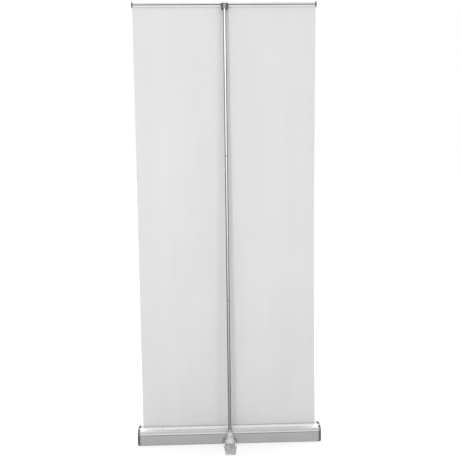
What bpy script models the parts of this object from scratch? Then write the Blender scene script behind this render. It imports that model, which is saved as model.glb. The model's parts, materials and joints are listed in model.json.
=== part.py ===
"""Roll-up banner stand: a spring roller in an aluminium cassette, a banner drawn up to a top rail,
and a three-piece shock-corded pole that stands in a boot behind the cassette with a folding foot.

Metres, +Z up. The origin is on the floor under the middle of the cassette. The pole and the foot
are on the -Y side, and the printed face of the banner looks along +Y.
"""
import bmesh
import bpy
from math import atan2, cos, hypot, pi, radians, sin
from mathutils import Vector

# ---- clearances -------------------------------------------------------------------------------
SEAT_GAP = 0.0003        # between two pieces that rest on each other
RUN_GAP = 0.0004         # round a shaft that turns or a tube that slides
JOIN_LAP = 0.0005        # how far two shapes reach into each other where they are joined
CUT_PAST = 0.004         # how far a cutter runs out past the surface that it cuts

# ---- banner and cassette ----------------------------------------------------------------------
BANNER_WIDTH = 0.850
BANNER_THICKNESS = 0.0005
END_ROOM = 0.025         # from the banner's edge to the end of the cassette
BASE_DEPTH = 0.094
BASE_HEIGHT = 0.0775
SHELL_WALL = 0.0022
SHELL_CORNER = 0.005     # radius at the floor
SHOULDER_HEIGHT = 0.052  # where the upright wall turns into the curved shoulder
TRIM_HEIGHT = 0.0026     # groove along the foot of the shoulder
TRIM_DEPTH = 0.0011
SLOT_WIDTH = 0.008
CAP_THICKNESS = 0.013
CAP_SPIGOT = 0.008       # how far the cap reaches into the shell
CAP_ROUND = 0.004
GROOVE_BEVEL = 0.2       # share of the trim groove's height that each of its edges slopes over
FELT_GAP = 0.00035       # from each felt to the banner
FELT_HEIGHT = 0.003

# ---- roller -----------------------------------------------------------------------------------
TUBE_RADIUS = 0.016
TUBE_WALL = 0.001
LEADER_BUILD = 0.0009    # leader film wound on the tube while the banner is out
ROLLER_HEIGHT = 0.036
SHAFT_RADIUS = 0.004
CAP_FACE = 0.003         # wall left in the end cap behind the shaft
PIN_REACH = 0.012        # of the plain axle pin into its plug
PLUG_FLANGE = 0.002
PLUG_LENGTH = 0.020
SPRING_RADIUS = 0.0062   # of the coil, at the middle of the wire
SPRING_WIRE = 0.0009     # radius
SPRING_TURNS = 12
SPRING_LENGTH = 0.136
ANCHOR_RADIUS = 0.0075
ANCHOR_LENGTH = 0.012

# ---- top rail ---------------------------------------------------------------------------------
RAIL_TOP = 2.113         # height of the rail over the floor, banner up
RAIL_HEIGHT = 0.023
RAIL_THICKNESS = 0.010
RAIL_SIDE = 0.0005       # how far the rail passes the banner's edge
RAIL_SLOT = 0.003        # width of the slot that holds the banner
RAIL_SLOT_DEPTH = 0.0075
HOOK_GROOVE = 0.004      # height of the groove in the back of the rail
HOOK_GROOVE_DEPTH = 0.0035
HOOK_GROOVE_LEVEL = 0.011   # middle of the groove over the rail's lower edge
RAIL_CAP_WALL = 0.0009
RAIL_CAP_END = 0.0043
RAIL_CAP_LAP = 0.006     # how far the cap laps over the rail
WEDGE_FOOT = 0.001       # of the strip that wedges the banner, over the rail's foot

# ---- pole -------------------------------------------------------------------------------------
POLE_RADIUS = 0.0095
POLE_WALL = 0.001
POLE_FOOT = 0.030        # height of the pole's lower end over the floor
FERRULE_LENGTH = 0.090
COLLAR_HEIGHT = 0.0018   # dark ring that shows at each joint of the pole
CORD_RADIUS = 0.002
CORD_BORE = 0.003
PLUG_DEPTH = 0.014       # of the plug in the pole's lower end
PLUG_RECESS = 0.0005     # from the tube's end to the plug's foot

# ---- hook on the pole's head ------------------------------------------------------------------
HEAD_DROP = 0.007        # of the head's top under the rail's top
HEAD_HEIGHT = 0.0325
HEAD_SIDE_WALL = 0.0026  # beside the pole, at the head's foot
HEAD_FLARE = 0.0045      # how much wider each side is at the top
HEAD_FRONT_WALL = 0.0034
HEAD_BACK_WALL = 0.003
HEAD_WEB = 0.006         # between the pole's end and the rail's groove
HEAD_STANDOFF = 0.002    # from the rail's back to the head's front
TONGUE_WIDTH = 0.020
TONGUE_LENGTH = 0.022
TONGUE_REACH = 0.0028    # into the rail's groove
RIVET_RADIUS = 0.002
RIVET_HEAD = 0.0036
RIVET_HEAD_HEIGHT = 0.0012
HEAD_ROUND = 0.003

# ---- boot behind the cassette, and the foot ---------------------------------------------------
BOOT_WIDTH = 0.0456
BOOT_TOP_WIDTH = 0.024
BOOT_TOP = 0.079
BOOT_UNDERCUT = 0.017    # height of the boot's lower front edge
BOOT_SLOPE = 0.0059      # how far the gusset leans out, top to bottom
BOOT_UNDERCUT_DEPTH = 0.0088
BOOT_LIFT = 0.001        # over the floor
BOOT_BACK = 0.0029       # wall between the pole and the cassette
SOCKET_TOP = 0.093
SOCKET_WALL = 0.0029
FOLD_GAP = 0.001         # between the boot and the foot folded up
HINGE_HEIGHT = 0.0225
HINGE_RADIUS = 0.0025
EAR_RADIUS = 0.0075
EAR_THICKNESS = 0.003
EAR_GAP = 0.0009         # between an ear and the boot
EAR_REACH = 0.036        # from the hinge to where the ear runs out on the plate
FOOT_ROOT_GAP = 0.0058   # between the boot's heel and the near edge of the plate
FOOT_TIP = 0.131         # from the cassette's back to the far edge
FOOT_ROOT_WIDTH = 0.061
FOOT_TIP_WIDTH = 0.048
FOOT_CORNER = 0.009
FOOT_UNDERSIDE = 0.002
FOOT_THICKNESS = 0.003
PAD_WIDTH = 0.034
PAD_LENGTH = 0.014
PAD_INSET = 0.008        # from the plate's far edge
KNOB_RADIUS = 0.0055     # black cap on each end of the hinge pin
KNOB_THICKNESS = 0.0036
KNOB_SEAT = 0.0024       # how far the pin goes into it

# ---- fasteners --------------------------------------------------------------------------------
CAP_SCREW_HEAD = 0.0036
CAP_SCREW_HEAD_HEIGHT = 0.0018
CAP_SCREW_SHANK = 0.0016
CAP_SCREW_LENGTH = 0.009    # of its hole
CAP_SCREW_TIP_ROOM = 0.001  # between the screw's tip and the bottom of its hole
CAP_SCREW_OFFSET = 0.001    # inward of the middle of the cap's plate
CAP_SCREW_LEAN = radians(52)  # where the side screws sit round the shoulder
BOOT_SCREW_RADIUS = 0.002
BOOT_SCREW_HEAD = 0.0038
BOOT_SCREW_HEAD_HEIGHT = 0.0028
BOOT_SCREW_LENGTH = 0.014
BOOT_SCREW_SPACING = 0.032
BOOT_SCREW_HEIGHT = 0.010

# ---- places that follow from the sizes --------------------------------------------------------
BACK = -BASE_DEPTH / 2
BASE_HALF = BANNER_WIDTH / 2 + END_ROOM
SHELL_END = BASE_HALF - CAP_THICKNESS
SHOULDER_X = BASE_DEPTH / 2 - SLOT_WIDTH / 2
SHOULDER_Z = BASE_HEIGHT - SHOULDER_HEIGHT
LEADER_RADIUS = TUBE_RADIUS + SEAT_GAP + LEADER_BUILD
ROLLER_Y = LEADER_RADIUS + SEAT_GAP + BANNER_THICKNESS / 2
ROLLER_HALF = BANNER_WIDTH / 2 + RAIL_SIDE
PLUG_END = ROLLER_HALF + SEAT_GAP + PLUG_FLANGE
SPRING_START = PLUG_END - PLUG_FLANGE - PLUG_LENGTH - SEAT_GAP
SPRING_END = SPRING_START - SPRING_LENGTH
SHAFT_END = SHELL_END + CAP_THICKNESS - CAP_FACE
RAIL_FOOT = RAIL_TOP - RAIL_HEIGHT
RAIL_HALF = BANNER_WIDTH / 2 + RAIL_SIDE
HOOK_Z = RAIL_FOOT + HOOK_GROOVE_LEVEL
SOCKET_BORE = POLE_RADIUS + RUN_GAP
HEAD_TOP = RAIL_TOP - HEAD_DROP
HEAD_FOOT = HEAD_TOP - HEAD_HEIGHT
HEAD_FRONT = -RAIL_THICKNESS / 2 - HEAD_STANDOFF
HEAD_BACK = HEAD_FRONT - HEAD_FRONT_WALL - 2 * SOCKET_BORE - HEAD_BACK_WALL
HEAD_FOOT_HALF = SOCKET_BORE + HEAD_SIDE_WALL
POLE_HEAD = HOOK_Z - HOOK_GROOVE / 2 - HEAD_WEB
POLE_HEAD_Y = HEAD_FRONT - HEAD_FRONT_WALL - SOCKET_BORE
POLE_FOOT_Y = BACK - BOOT_BACK - SOCKET_BORE
POLE_LEAN = atan2(POLE_HEAD_Y - POLE_FOOT_Y, POLE_HEAD - POLE_FOOT)
POLE_LENGTH = hypot(POLE_HEAD_Y - POLE_FOOT_Y, POLE_HEAD - POLE_FOOT)
SECTION_LENGTH = (POLE_LENGTH - 2 * COLLAR_HEIGHT) / 3
BOOT_TOP_DEPTH = BOOT_BACK + 2 * SOCKET_BORE + SOCKET_WALL
BOOT_DEPTH = BOOT_TOP_DEPTH + BOOT_SLOPE
BOOT_HEEL_DEPTH = BOOT_DEPTH - BOOT_UNDERCUT_DEPTH
FOOT_TOP = FOOT_UNDERSIDE + FOOT_THICKNESS
FOOT_ROOT = BOOT_HEEL_DEPTH + FOOT_ROOT_GAP
HINGE_Y = BACK - BOOT_DEPTH - FOLD_GAP + HINGE_HEIGHT - FOOT_TOP
HINGE_HALF = BOOT_WIDTH / 2 + EAR_GAP + EAR_THICKNESS

ALONG_X = (0.0, pi / 2, 0.0)             # a turned piece's own axis laid along +X
SECTION_TURN = (pi / 2, 0.0, pi / 2)     # an outline's x and y laid along world Y and Z


# ---- scene and finishes -----------------------------------------------------------------------
def start_scene():
    for old in list(bpy.data.objects):
        bpy.data.objects.remove(old, do_unlink=True)
    for name in ("banner_stand", "cutters"):
        bpy.context.scene.collection.children.link(bpy.data.collections.new(name))
    bpy.data.collections["cutters"].hide_render = True


FINISHES = {
    "aluminium": ((0.72, 0.72, 0.73), 0.9, 0.36),
    "bright aluminium": ((0.80, 0.80, 0.81), 1.0, 0.20),
    "cast metal": ((0.62, 0.62, 0.62), 0.7, 0.45),
    "steel": ((0.55, 0.55, 0.56), 1.0, 0.30),
    "cap plastic": ((0.28, 0.28, 0.29), 0.0, 0.42),
    "dark plastic": ((0.11, 0.11, 0.11), 0.0, 0.48),
    "black": ((0.02, 0.02, 0.02), 0.0, 0.50),
    "rubber": ((0.04, 0.04, 0.04), 0.0, 0.85),
    "felt": ((0.16, 0.16, 0.16), 0.0, 0.95),
    "banner": ((0.72, 0.72, 0.72), 0.0, 0.62),
    "cord": ((0.70, 0.70, 0.68), 0.0, 0.80),
}


def give_finish(piece, finish):
    colour, metallic, roughness = FINISHES[finish]
    material = bpy.data.materials.new(piece.name + "_finish")
    material.use_nodes = True
    shader = material.node_tree.nodes["Principled BSDF"]
    shader.inputs["Base Color"].default_value = (*colour, 1.0)
    shader.inputs["Metallic"].default_value = metallic
    shader.inputs["Roughness"].default_value = roughness
    piece.data.materials.clear()
    piece.data.materials.append(material)


def place(piece, location=(0, 0, 0), rotation=(0, 0, 0), parent=None):
    piece.parent = parent
    piece.location = location
    piece.rotation_euler = rotation
    return piece


def add_frame(name, location, rotation=(0, 0, 0), parent=None):
    empty = bpy.data.objects.new(name, None)
    bpy.data.collections["banner_stand"].objects.link(empty)
    return place(empty, location, rotation, parent)


# ---- ways to make a solid ---------------------------------------------------------------------
def link_mesh(name, bm, finish, cutter=False):
    mesh = bpy.data.meshes.new(name)
    bm.to_mesh(mesh)
    bm.free()
    piece = bpy.data.objects.new(name, mesh)
    bpy.data.collections["cutters" if cutter else "banner_stand"].objects.link(piece)
    if cutter:
        piece.hide_render = True
        piece.display_type = "WIRE"
    else:
        give_finish(piece, finish)
    return piece


def block(name, low, high, finish=None, top_scale=None):
    """A box between two corners. top_scale draws its upper face in about x = 0, in width only."""
    bm = bmesh.new()
    bmesh.ops.create_cube(bm, size=1.0)
    for vertex in bm.verts:
        for axis in range(3):
            share = vertex.co[axis] + 0.5
            vertex.co[axis] = low[axis] + share * (high[axis] - low[axis])
    if top_scale:
        upper = [v for v in bm.verts if v.co.z > (low[2] + high[2]) / 2]
        bmesh.ops.scale(bm, vec=(top_scale, 1, 1), verts=upper)
    return link_mesh(name, bm, finish, cutter=finish is None)


def turned(name, profile, finish=None, sides=24, closed=False):
    """Turn (radius, height) points round local Z. The profile runs down its outer side."""
    bm = bmesh.new()
    points = [bm.verts.new((radius, 0, height)) for radius, height in profile]
    for one, other in zip(points, points[1:]):
        bm.edges.new((one, other))
    if closed:
        bm.edges.new((points[-1], points[0]))
    piece = link_mesh(name, bm, finish, cutter=finish is None)
    screw = piece.modifiers.new("turn", "SCREW")
    screw.axis = "Z"
    screw.steps = screw.render_steps = sides
    screw.use_merge_vertices = True
    screw.merge_threshold = 0.00001
    return piece


def rod(name, radius, low, high, finish=None, sides=24):
    return turned(name, [(0, high), (radius, high), (radius, low), (0, low)], finish, sides)


def ring(name, outer, inner, low, high, finish=None, sides=32):
    profile = [(outer, high), (outer, low), (inner, low), (inner, high)]
    return turned(name, profile, finish, sides, closed=True)


def headed_screw(name, head, head_height, shank, length, finish, sides=12):
    """A pan head over z = 0 with its shank below."""
    dome = [(head * cos(a), head_height * sin(a)) for a in (pi / 2, pi / 3, pi / 6, 0)]
    dome[0] = (0, head_height)
    return turned(name, dome + [(shank, 0), (shank, -length), (0, -length)], finish, sides)


def arc(centre, radii, start, end, steps):
    """Points on an ellipse from start to end, in radians."""
    angles = [start + (end - start) * i / steps for i in range(steps + 1)]
    return [(centre[0] + radii[0] * cos(a), centre[1] + radii[1] * sin(a)) for a in angles]


def outline(name, points, thickness, finish=None, turn=(0, 0, 0), at=(0, 0, 0)):
    """A flat outline with a thickness, centred on its plane, made a closed mesh."""
    curve = bpy.data.curves.new(name, "CURVE")
    curve.dimensions = "2D"
    curve.fill_mode = "BOTH"
    curve.extrude = thickness / 2
    spline = curve.splines.new("POLY")
    spline.points.add(len(points) - 1)
    for point, (x, y) in zip(spline.points, points):
        point.co = (x, y, 0, 1)
    spline.use_cyclic_u = True
    shape = bpy.data.objects.new(name + "_curve", curve)
    bpy.context.scene.collection.objects.link(shape)
    place(shape, at, turn)
    bpy.context.view_layer.update()
    evaluated = shape.evaluated_get(bpy.context.evaluated_depsgraph_get())
    mesh = bpy.data.meshes.new_from_object(evaluated)
    where = shape.matrix_world.copy()
    bpy.data.objects.remove(shape, do_unlink=True)
    bm = bmesh.new()
    bm.from_mesh(mesh)
    bpy.data.meshes.remove(mesh)
    bmesh.ops.remove_doubles(bm, verts=bm.verts, dist=0.00001)
    bmesh.ops.recalc_face_normals(bm, faces=bm.faces)
    piece = link_mesh(name, bm, finish, cutter=finish is None)
    piece.matrix_world = where
    return piece


def boolean(piece, tool, operation):
    change = piece.modifiers.new(tool.name, "BOOLEAN")
    change.operation = operation
    change.solver = "EXACT"
    change.object = tool
    return piece


def cut(piece, *tools):
    for tool in tools:
        boolean(piece, tool, "DIFFERENCE")
    return piece


def join(piece, *tools):
    for tool in tools:
        boolean(piece, tool, "UNION")
    return piece


def bevel(piece, width, segments=2, sharper_than=radians(40)):
    edge = piece.modifiers.new("round", "BEVEL")
    edge.width = width
    edge.segments = segments
    edge.limit_method = "ANGLE"
    edge.angle_limit = sharper_than
    return piece


# ---- cassette ---------------------------------------------------------------------------------
def shell_half(inset):
    """Back half of the cassette's section, from the slot down to the middle of the floor."""
    depth = BASE_DEPTH / 2 - inset
    corner = SHELL_CORNER - inset
    radii = (SHOULDER_X - inset, SHOULDER_Z - inset)
    shoulder = arc((-SLOT_WIDTH / 2, SHOULDER_HEIGHT), radii, pi / 2, pi, 10)
    floor = arc((-depth + corner, inset + corner), (corner, corner), pi, 1.5 * pi, 4)
    return shoulder, floor


def mirrored(points):
    return [(-x, y) for x, y in reversed(points)]


def shell_section():
    shoulder, floor = shell_half(0)
    foot = SHOULDER_HEIGHT - TRIM_HEIGHT
    inward = BACK + TRIM_DEPTH
    slope = TRIM_HEIGHT * GROOVE_BEVEL
    trim = [(inward, SHOULDER_HEIGHT - slope), (inward, foot + slope), (BACK, foot)]
    outer = shoulder + trim + floor
    inner_shoulder, inner_floor = shell_half(SHELL_WALL)
    inner = inner_shoulder + inner_floor
    return outer + mirrored(outer) + inner_ring(inner)


def inner_ring(inner):
    """The inner wall, walked back from the front lip to the back lip."""
    front = [(-x, y) for x, y in inner]
    return front + list(reversed(inner))


def cap_section():
    shoulder, floor = shell_half(0)
    half = shoulder + floor
    return half + mirrored(half)


def spigot_section():
    shoulder, floor = shell_half(SHELL_WALL + SEAT_GAP)
    half = shoulder + floor
    return half + mirrored(half)


def shoulder_point(lean, side):
    """Point and outward tilt on the shoulder, lean radians up from its foot."""
    y = SLOT_WIDTH / 2 + SHOULDER_X * cos(lean)
    z = SHOULDER_HEIGHT + SHOULDER_Z * sin(lean)
    tilt = atan2(cos(lean) / SHOULDER_X, sin(lean) / SHOULDER_Z)
    return side * y, z, -side * tilt


def make_shell():
    shell = outline("cassette_shell", shell_section(), 2 * (SHELL_END - SEAT_GAP), "aluminium", SECTION_TURN)
    for side in (-1, 1):
        hole = rod(f"boot_screw_hole_{side}", BOOT_SCREW_RADIUS + SEAT_GAP, -CUT_PAST, CUT_PAST, sides=12)
        place(hole, (side * BOOT_SCREW_SPACING / 2, BACK, BOOT_SCREW_HEIGHT), (pi / 2, 0, 0))
        cut(shell, hole)


def make_felts():
    half = SHELL_END - CAP_SPIGOT - SEAT_GAP
    low, high = BASE_HEIGHT - FELT_HEIGHT, BASE_HEIGHT - SEAT_GAP
    outer = SLOT_WIDTH / 2 - SEAT_GAP
    inner = BANNER_THICKNESS / 2 + FELT_GAP
    block("slot_felt_back", (-half, -outer, low), (half, -inner, high), "felt")
    block("slot_felt_front", (-half, inner, low), (half, outer, high), "felt")


def cap_screw_places():
    lean_y, lean_z, tilt = shoulder_point(CAP_SCREW_LEAN, -1)
    return {
        "top": (0.0, BASE_HEIGHT, 0.0),
        "back": (lean_y, lean_z, tilt),
        "front": (-lean_y, lean_z, -tilt),
    }


def make_cap(word, side):
    """An end cap: a plate over the cassette's end, a spigot inside it, and its three screws."""
    middle = side * (SHELL_END + CAP_THICKNESS / 2)
    cap = outline(f"end_cap_{word}", cap_section(), CAP_THICKNESS, "cap plastic", SECTION_TURN, (middle, 0, 0))
    bevel(cap, CAP_ROUND, 3, radians(80))
    only_outer = cap.vertex_groups.new(name="outer_rim")
    rim = [v.index for v in cap.data.vertices if v.co.z * side > 0]
    only_outer.add(rim, 1.0, "REPLACE")
    cap.modifiers["round"].limit_method = "VGROUP"
    cap.modifiers["round"].vertex_group = "outer_rim"
    length = CAP_SPIGOT + 2 * SEAT_GAP
    spigot = outline(f"cap_spigot_{word}", spigot_section(), length, None, SECTION_TURN)
    place(spigot, (side * (SHELL_END - CAP_SPIGOT / 2 + SEAT_GAP), 0, 0), SECTION_TURN)
    join(cap, spigot)
    seat = rod(f"shaft_seat_{word}", SHAFT_RADIUS + SEAT_GAP, -SEAT_GAP, CAP_THICKNESS + 2 * CAP_SPIGOT)
    place(seat, (side * SHAFT_END, ROLLER_Y, ROLLER_HEIGHT), (0, -side * pi / 2, 0))
    cut(cap, seat)
    x = middle - side * CAP_SCREW_OFFSET
    for where, (y, z, tilt) in cap_screw_places().items():
        well = turned(
            f"cap_screw_well_{word}_{where}",
            [
                (0, CUT_PAST),
                (CAP_SCREW_HEAD + SEAT_GAP, CUT_PAST),
                (CAP_SCREW_HEAD + SEAT_GAP, -CAP_SCREW_HEAD_HEIGHT),
                (CAP_SCREW_SHANK + SEAT_GAP, -CAP_SCREW_HEAD_HEIGHT),
                (CAP_SCREW_SHANK + SEAT_GAP, -CAP_SCREW_LENGTH - CAP_SCREW_HEAD_HEIGHT),
                (0, -CAP_SCREW_LENGTH - CAP_SCREW_HEAD_HEIGHT),
            ],
            sides=12,
        )
        place(well, (x, y, z), (-tilt, 0, 0))
        cut(cap, well)
        screw = headed_screw(
            f"cap_screw_{word}_{where}",
            CAP_SCREW_HEAD,
            CAP_SCREW_HEAD_HEIGHT,
            CAP_SCREW_SHANK,
            CAP_SCREW_LENGTH - CAP_SCREW_TIP_ROOM,
            "black",
        )
        sunk = CAP_SCREW_HEAD_HEIGHT - SEAT_GAP
        place(screw, (x, y - sunk * sin(tilt), z - sunk * cos(tilt)), (-tilt, 0, 0))


# ---- roller and its spring --------------------------------------------------------------------
def make_roller():
    """Local Z of the frame lies along world +X, with the spring at that end."""
    axis = add_frame("roller_axis", (0, ROLLER_Y, ROLLER_HEIGHT), ALONG_X)
    tube = ring("roller_tube", TUBE_RADIUS, TUBE_RADIUS - TUBE_WALL, -ROLLER_HALF, ROLLER_HALF, "aluminium")
    place(tube, parent=axis)
    half = BANNER_WIDTH / 2
    leader = ring("leader_film", LEADER_RADIUS, TUBE_RADIUS + SEAT_GAP, -half, half, "banner")
    place(leader, parent=axis)
    inside = TUBE_RADIUS - TUBE_WALL - SEAT_GAP
    bore = SHAFT_RADIUS + RUN_GAP
    flange = PLUG_END - PLUG_FLANGE
    for word, side in (("left", -1), ("right", 1)):
        profile = [
            (TUBE_RADIUS, PLUG_END),
            (TUBE_RADIUS, flange),
            (inside, flange),
            (inside, flange - PLUG_LENGTH),
            (bore, flange - PLUG_LENGTH),
            (bore, PLUG_END),
        ]
        plug = turned(f"roller_plug_{word}", profile, "dark plastic", closed=True)
        place(plug, rotation=(0, 0 if side > 0 else pi, 0), parent=axis)
    place(make_spring(), parent=axis)


def make_spring():
    """The coil that pulls the banner back, wound down from the right plug to the anchor."""
    curve = bpy.data.curves.new("torsion_spring", "CURVE")
    curve.dimensions = "3D"
    curve.bevel_depth = SPRING_WIRE
    curve.bevel_resolution = 1
    curve.use_fill_caps = True
    per_turn = 10
    count = SPRING_TURNS * per_turn + 1
    start, end = SPRING_START - SPRING_WIRE, SPRING_END + SPRING_WIRE
    spline = curve.splines.new("POLY")
    spline.points.add(count - 1)
    for index, point in enumerate(spline.points):
        angle = 2 * pi * index / per_turn
        along = start + (end - start) * index / (count - 1)
        point.co = (SPRING_RADIUS * cos(angle), SPRING_RADIUS * sin(angle), along, 1)
    spring = bpy.data.objects.new("torsion_spring", curve)
    bpy.data.collections["banner_stand"].objects.link(spring)
    give_finish(spring, "steel")
    return spring


def make_shafts():
    """The plain pin at the left and the spring's shaft at the right, each held in its end cap."""
    axis = add_frame("shaft_axis", (0, ROLLER_Y, ROLLER_HEIGHT), ALONG_X)
    pin = rod("axle_pin", SHAFT_RADIUS, -SHAFT_END, PIN_REACH - PLUG_END, "steel")
    place(pin, parent=axis)
    anchor_end = SPRING_END - SEAT_GAP
    shaft = rod("spring_shaft", SHAFT_RADIUS, anchor_end - ANCHOR_LENGTH, SHAFT_END, "steel")
    place(shaft, parent=axis)
    anchor = ring(
        "spring_anchor",
        ANCHOR_RADIUS,
        SHAFT_RADIUS + SEAT_GAP,
        anchor_end - ANCHOR_LENGTH,
        anchor_end,
        "dark plastic",
        24,
    )
    place(anchor, parent=axis)


# ---- banner and top rail ----------------------------------------------------------------------
def rail_hull(grow, drop):
    """The rail's outer outline with a round top, from the lower back corner round to the front."""
    half = RAIL_THICKNESS / 2 + grow
    crown = RAIL_HEIGHT - RAIL_THICKNESS / 2
    return [(half, -drop)] + arc((0, crown), (half, half), 0, pi, 8) + [(-half, -drop)]


def rail_section():
    half = RAIL_THICKNESS / 2
    low = HOOK_GROOVE_LEVEL - HOOK_GROOVE / 2
    high = HOOK_GROOVE_LEVEL + HOOK_GROOVE / 2
    inward = -half + HOOK_GROOVE_DEPTH
    groove = [(-half, high), (inward, high), (inward, low), (-half, low)]
    lip = RAIL_SLOT / 2
    slot = [(-lip, 0), (-lip, RAIL_SLOT_DEPTH), (lip, RAIL_SLOT_DEPTH), (lip, 0)]
    hull = rail_hull(0, 0)
    return hull[:-1] + groove + hull[-1:] + slot


def make_rail():
    frame = add_frame("rail_frame", (0, 0, RAIL_FOOT))
    rail = outline("top_rail", rail_section(), 2 * RAIL_HALF, "aluminium", SECTION_TURN)
    place(rail, rotation=SECTION_TURN, parent=frame)
    low = BANNER_THICKNESS / 2 + SEAT_GAP
    wedge = block(
        "rail_wedge",
        (-BANNER_WIDTH / 2, low, WEDGE_FOOT),
        (BANNER_WIDTH / 2, RAIL_SLOT / 2 - SEAT_GAP, RAIL_SLOT_DEPTH - SEAT_GAP),
        "dark plastic",
    )
    place(wedge, parent=frame)
    for word, side in (("left", -1), ("right", 1)):
        length = RAIL_CAP_LAP + RAIL_CAP_END
        inner = RAIL_HALF - RAIL_CAP_LAP
        middle = side * (inner + length / 2)
        hull = rail_hull(SEAT_GAP + RAIL_CAP_WALL, 0)
        cap = outline(f"rail_cap_{word}", hull, length, "cap plastic", SECTION_TURN)
        pocket_length = RAIL_CAP_LAP + 2 * SEAT_GAP
        hollow = rail_hull(SEAT_GAP, CUT_PAST)
        pocket = outline(f"rail_pocket_{word}", hollow, pocket_length, None, SECTION_TURN)
        place(cap, (middle, 0, 0), SECTION_TURN, frame)
        place(pocket, (side * (inner + RAIL_CAP_LAP / 2), 0, 0), SECTION_TURN, frame)
        cut(cap, pocket)


def make_banner():
    """The sheet from where it leaves the roller, up through the slot, to the rail's own slot."""
    half = BANNER_THICKNESS / 2
    frame = add_frame("slot_axis", (0, 0, BASE_HEIGHT))
    top = RAIL_FOOT + RAIL_SLOT_DEPTH - SEAT_GAP - BASE_HEIGHT
    low = ROLLER_HEIGHT - BASE_HEIGHT
    banner = block("banner_sheet", (-BANNER_WIDTH / 2, -half, low), (BANNER_WIDTH / 2, half, top), "banner")
    place(banner, parent=frame)


# ---- pole -------------------------------------------------------------------------------------
def make_pole():
    """Three tubes on an elastic cord. Local Z of the frame lies along the pole, up from its foot."""
    pole = add_frame("pole_axis", (0, POLE_FOOT_Y, POLE_FOOT), (-POLE_LEAN, 0, 0))
    inside = POLE_RADIUS - POLE_WALL
    starts = [index * (SECTION_LENGTH + COLLAR_HEIGHT) for index in range(3)]
    for word, start in zip(("lower", "middle", "upper"), starts):
        tube = ring(f"pole_{word}", POLE_RADIUS, inside, start, start + SECTION_LENGTH, "bright aluminium")
        place(tube, parent=pole)
    for word, start in zip(("lower", "upper"), starts[1:]):
        seat = start - COLLAR_HEIGHT
        spigot = inside - SEAT_GAP
        profile = [
            (spigot, start + FERRULE_LENGTH / 2),
            (spigot, start - SEAT_GAP),
            (POLE_RADIUS, start - SEAT_GAP),
            (POLE_RADIUS, seat + SEAT_GAP),
            (spigot, seat + SEAT_GAP),
            (spigot, seat - FERRULE_LENGTH / 2),
            (CORD_BORE, seat - FERRULE_LENGTH / 2),
            (CORD_BORE, start + FERRULE_LENGTH / 2),
        ]
        ferrule = turned(f"pole_ferrule_{word}", profile, "dark plastic", closed=True)
        place(ferrule, parent=pole)
    plug = turned(
        "pole_foot_plug",
        [
            (inside - SEAT_GAP, PLUG_DEPTH),
            (inside - SEAT_GAP, PLUG_RECESS),
            (0, PLUG_RECESS),
            (0, PLUG_DEPTH / 2),
            (CORD_BORE, PLUG_DEPTH / 2),
            (CORD_BORE, PLUG_DEPTH),
        ],
        "dark plastic",
        closed=True,
    )
    place(plug, parent=pole)
    cord_foot = PLUG_DEPTH / 2 + SEAT_GAP
    cord = rod("shock_cord", CORD_RADIUS, cord_foot, POLE_LENGTH - SEAT_GAP, "cord", 12)
    place(cord, parent=pole)
    return pole


def make_head(pole):
    """The moulded hook on the pole's head, its steel tongue and the rivet that holds the tongue."""
    wide = 1 + HEAD_FLARE / HEAD_FOOT_HALF
    low = (-HEAD_FOOT_HALF, HEAD_BACK, HEAD_FOOT)
    high = (HEAD_FOOT_HALF, HEAD_FRONT, HEAD_TOP)
    head = block("pole_head", low, high, "dark plastic", top_scale=wide)
    bevel(head, HEAD_ROUND, 2)
    bore = rod("head_bore", SOCKET_BORE, POLE_LENGTH - HEAD_HEIGHT, POLE_LENGTH + SEAT_GAP, sides=32)
    place(bore, parent=pole)
    tongue_half = (HOOK_GROOVE - 2 * SEAT_GAP) / 2
    tip = -RAIL_THICKNESS / 2 + TONGUE_REACH
    tongue_low = (-TONGUE_WIDTH / 2, tip - TONGUE_LENGTH, HOOK_Z - tongue_half)
    tongue_high = (TONGUE_WIDTH / 2, tip, HOOK_Z + tongue_half)
    tongue = block("hook_tongue", tongue_low, tongue_high, "steel")
    gap = Vector((SEAT_GAP, SEAT_GAP, SEAT_GAP))
    slot = block("tongue_slot", Vector(tongue_low) - gap, Vector(tongue_high) + gap)
    drop = HEAD_TOP - HOOK_Z
    reach = drop + tongue_half
    rivet = headed_screw("hook_rivet", RIVET_HEAD, RIVET_HEAD_HEIGHT, RIVET_RADIUS, reach, "steel")
    place(rivet, (0, POLE_HEAD_Y, HEAD_TOP + SEAT_GAP))
    hole = rod("rivet_hole", RIVET_RADIUS + SEAT_GAP, -drop - HOOK_GROOVE, CUT_PAST, sides=12)
    place(hole, (0, POLE_HEAD_Y, HEAD_TOP))
    tongue_hole = rod("tongue_hole", RIVET_RADIUS + SEAT_GAP, -CUT_PAST, CUT_PAST, sides=12)
    place(tongue_hole, (0, POLE_HEAD_Y, HOOK_Z))
    cut(head, bore, slot, hole)
    cut(tongue, tongue_hole)
    for piece in (head, tongue, rivet):
        keep_place(piece, pole)


def keep_place(piece, parent):
    """Parent a piece that was placed in the world without moving it."""
    bpy.context.view_layer.update()
    where = piece.matrix_world.copy()
    piece.parent = parent
    piece.matrix_parent_inverse = parent.matrix_world.inverted()
    piece.matrix_world = where


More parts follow.
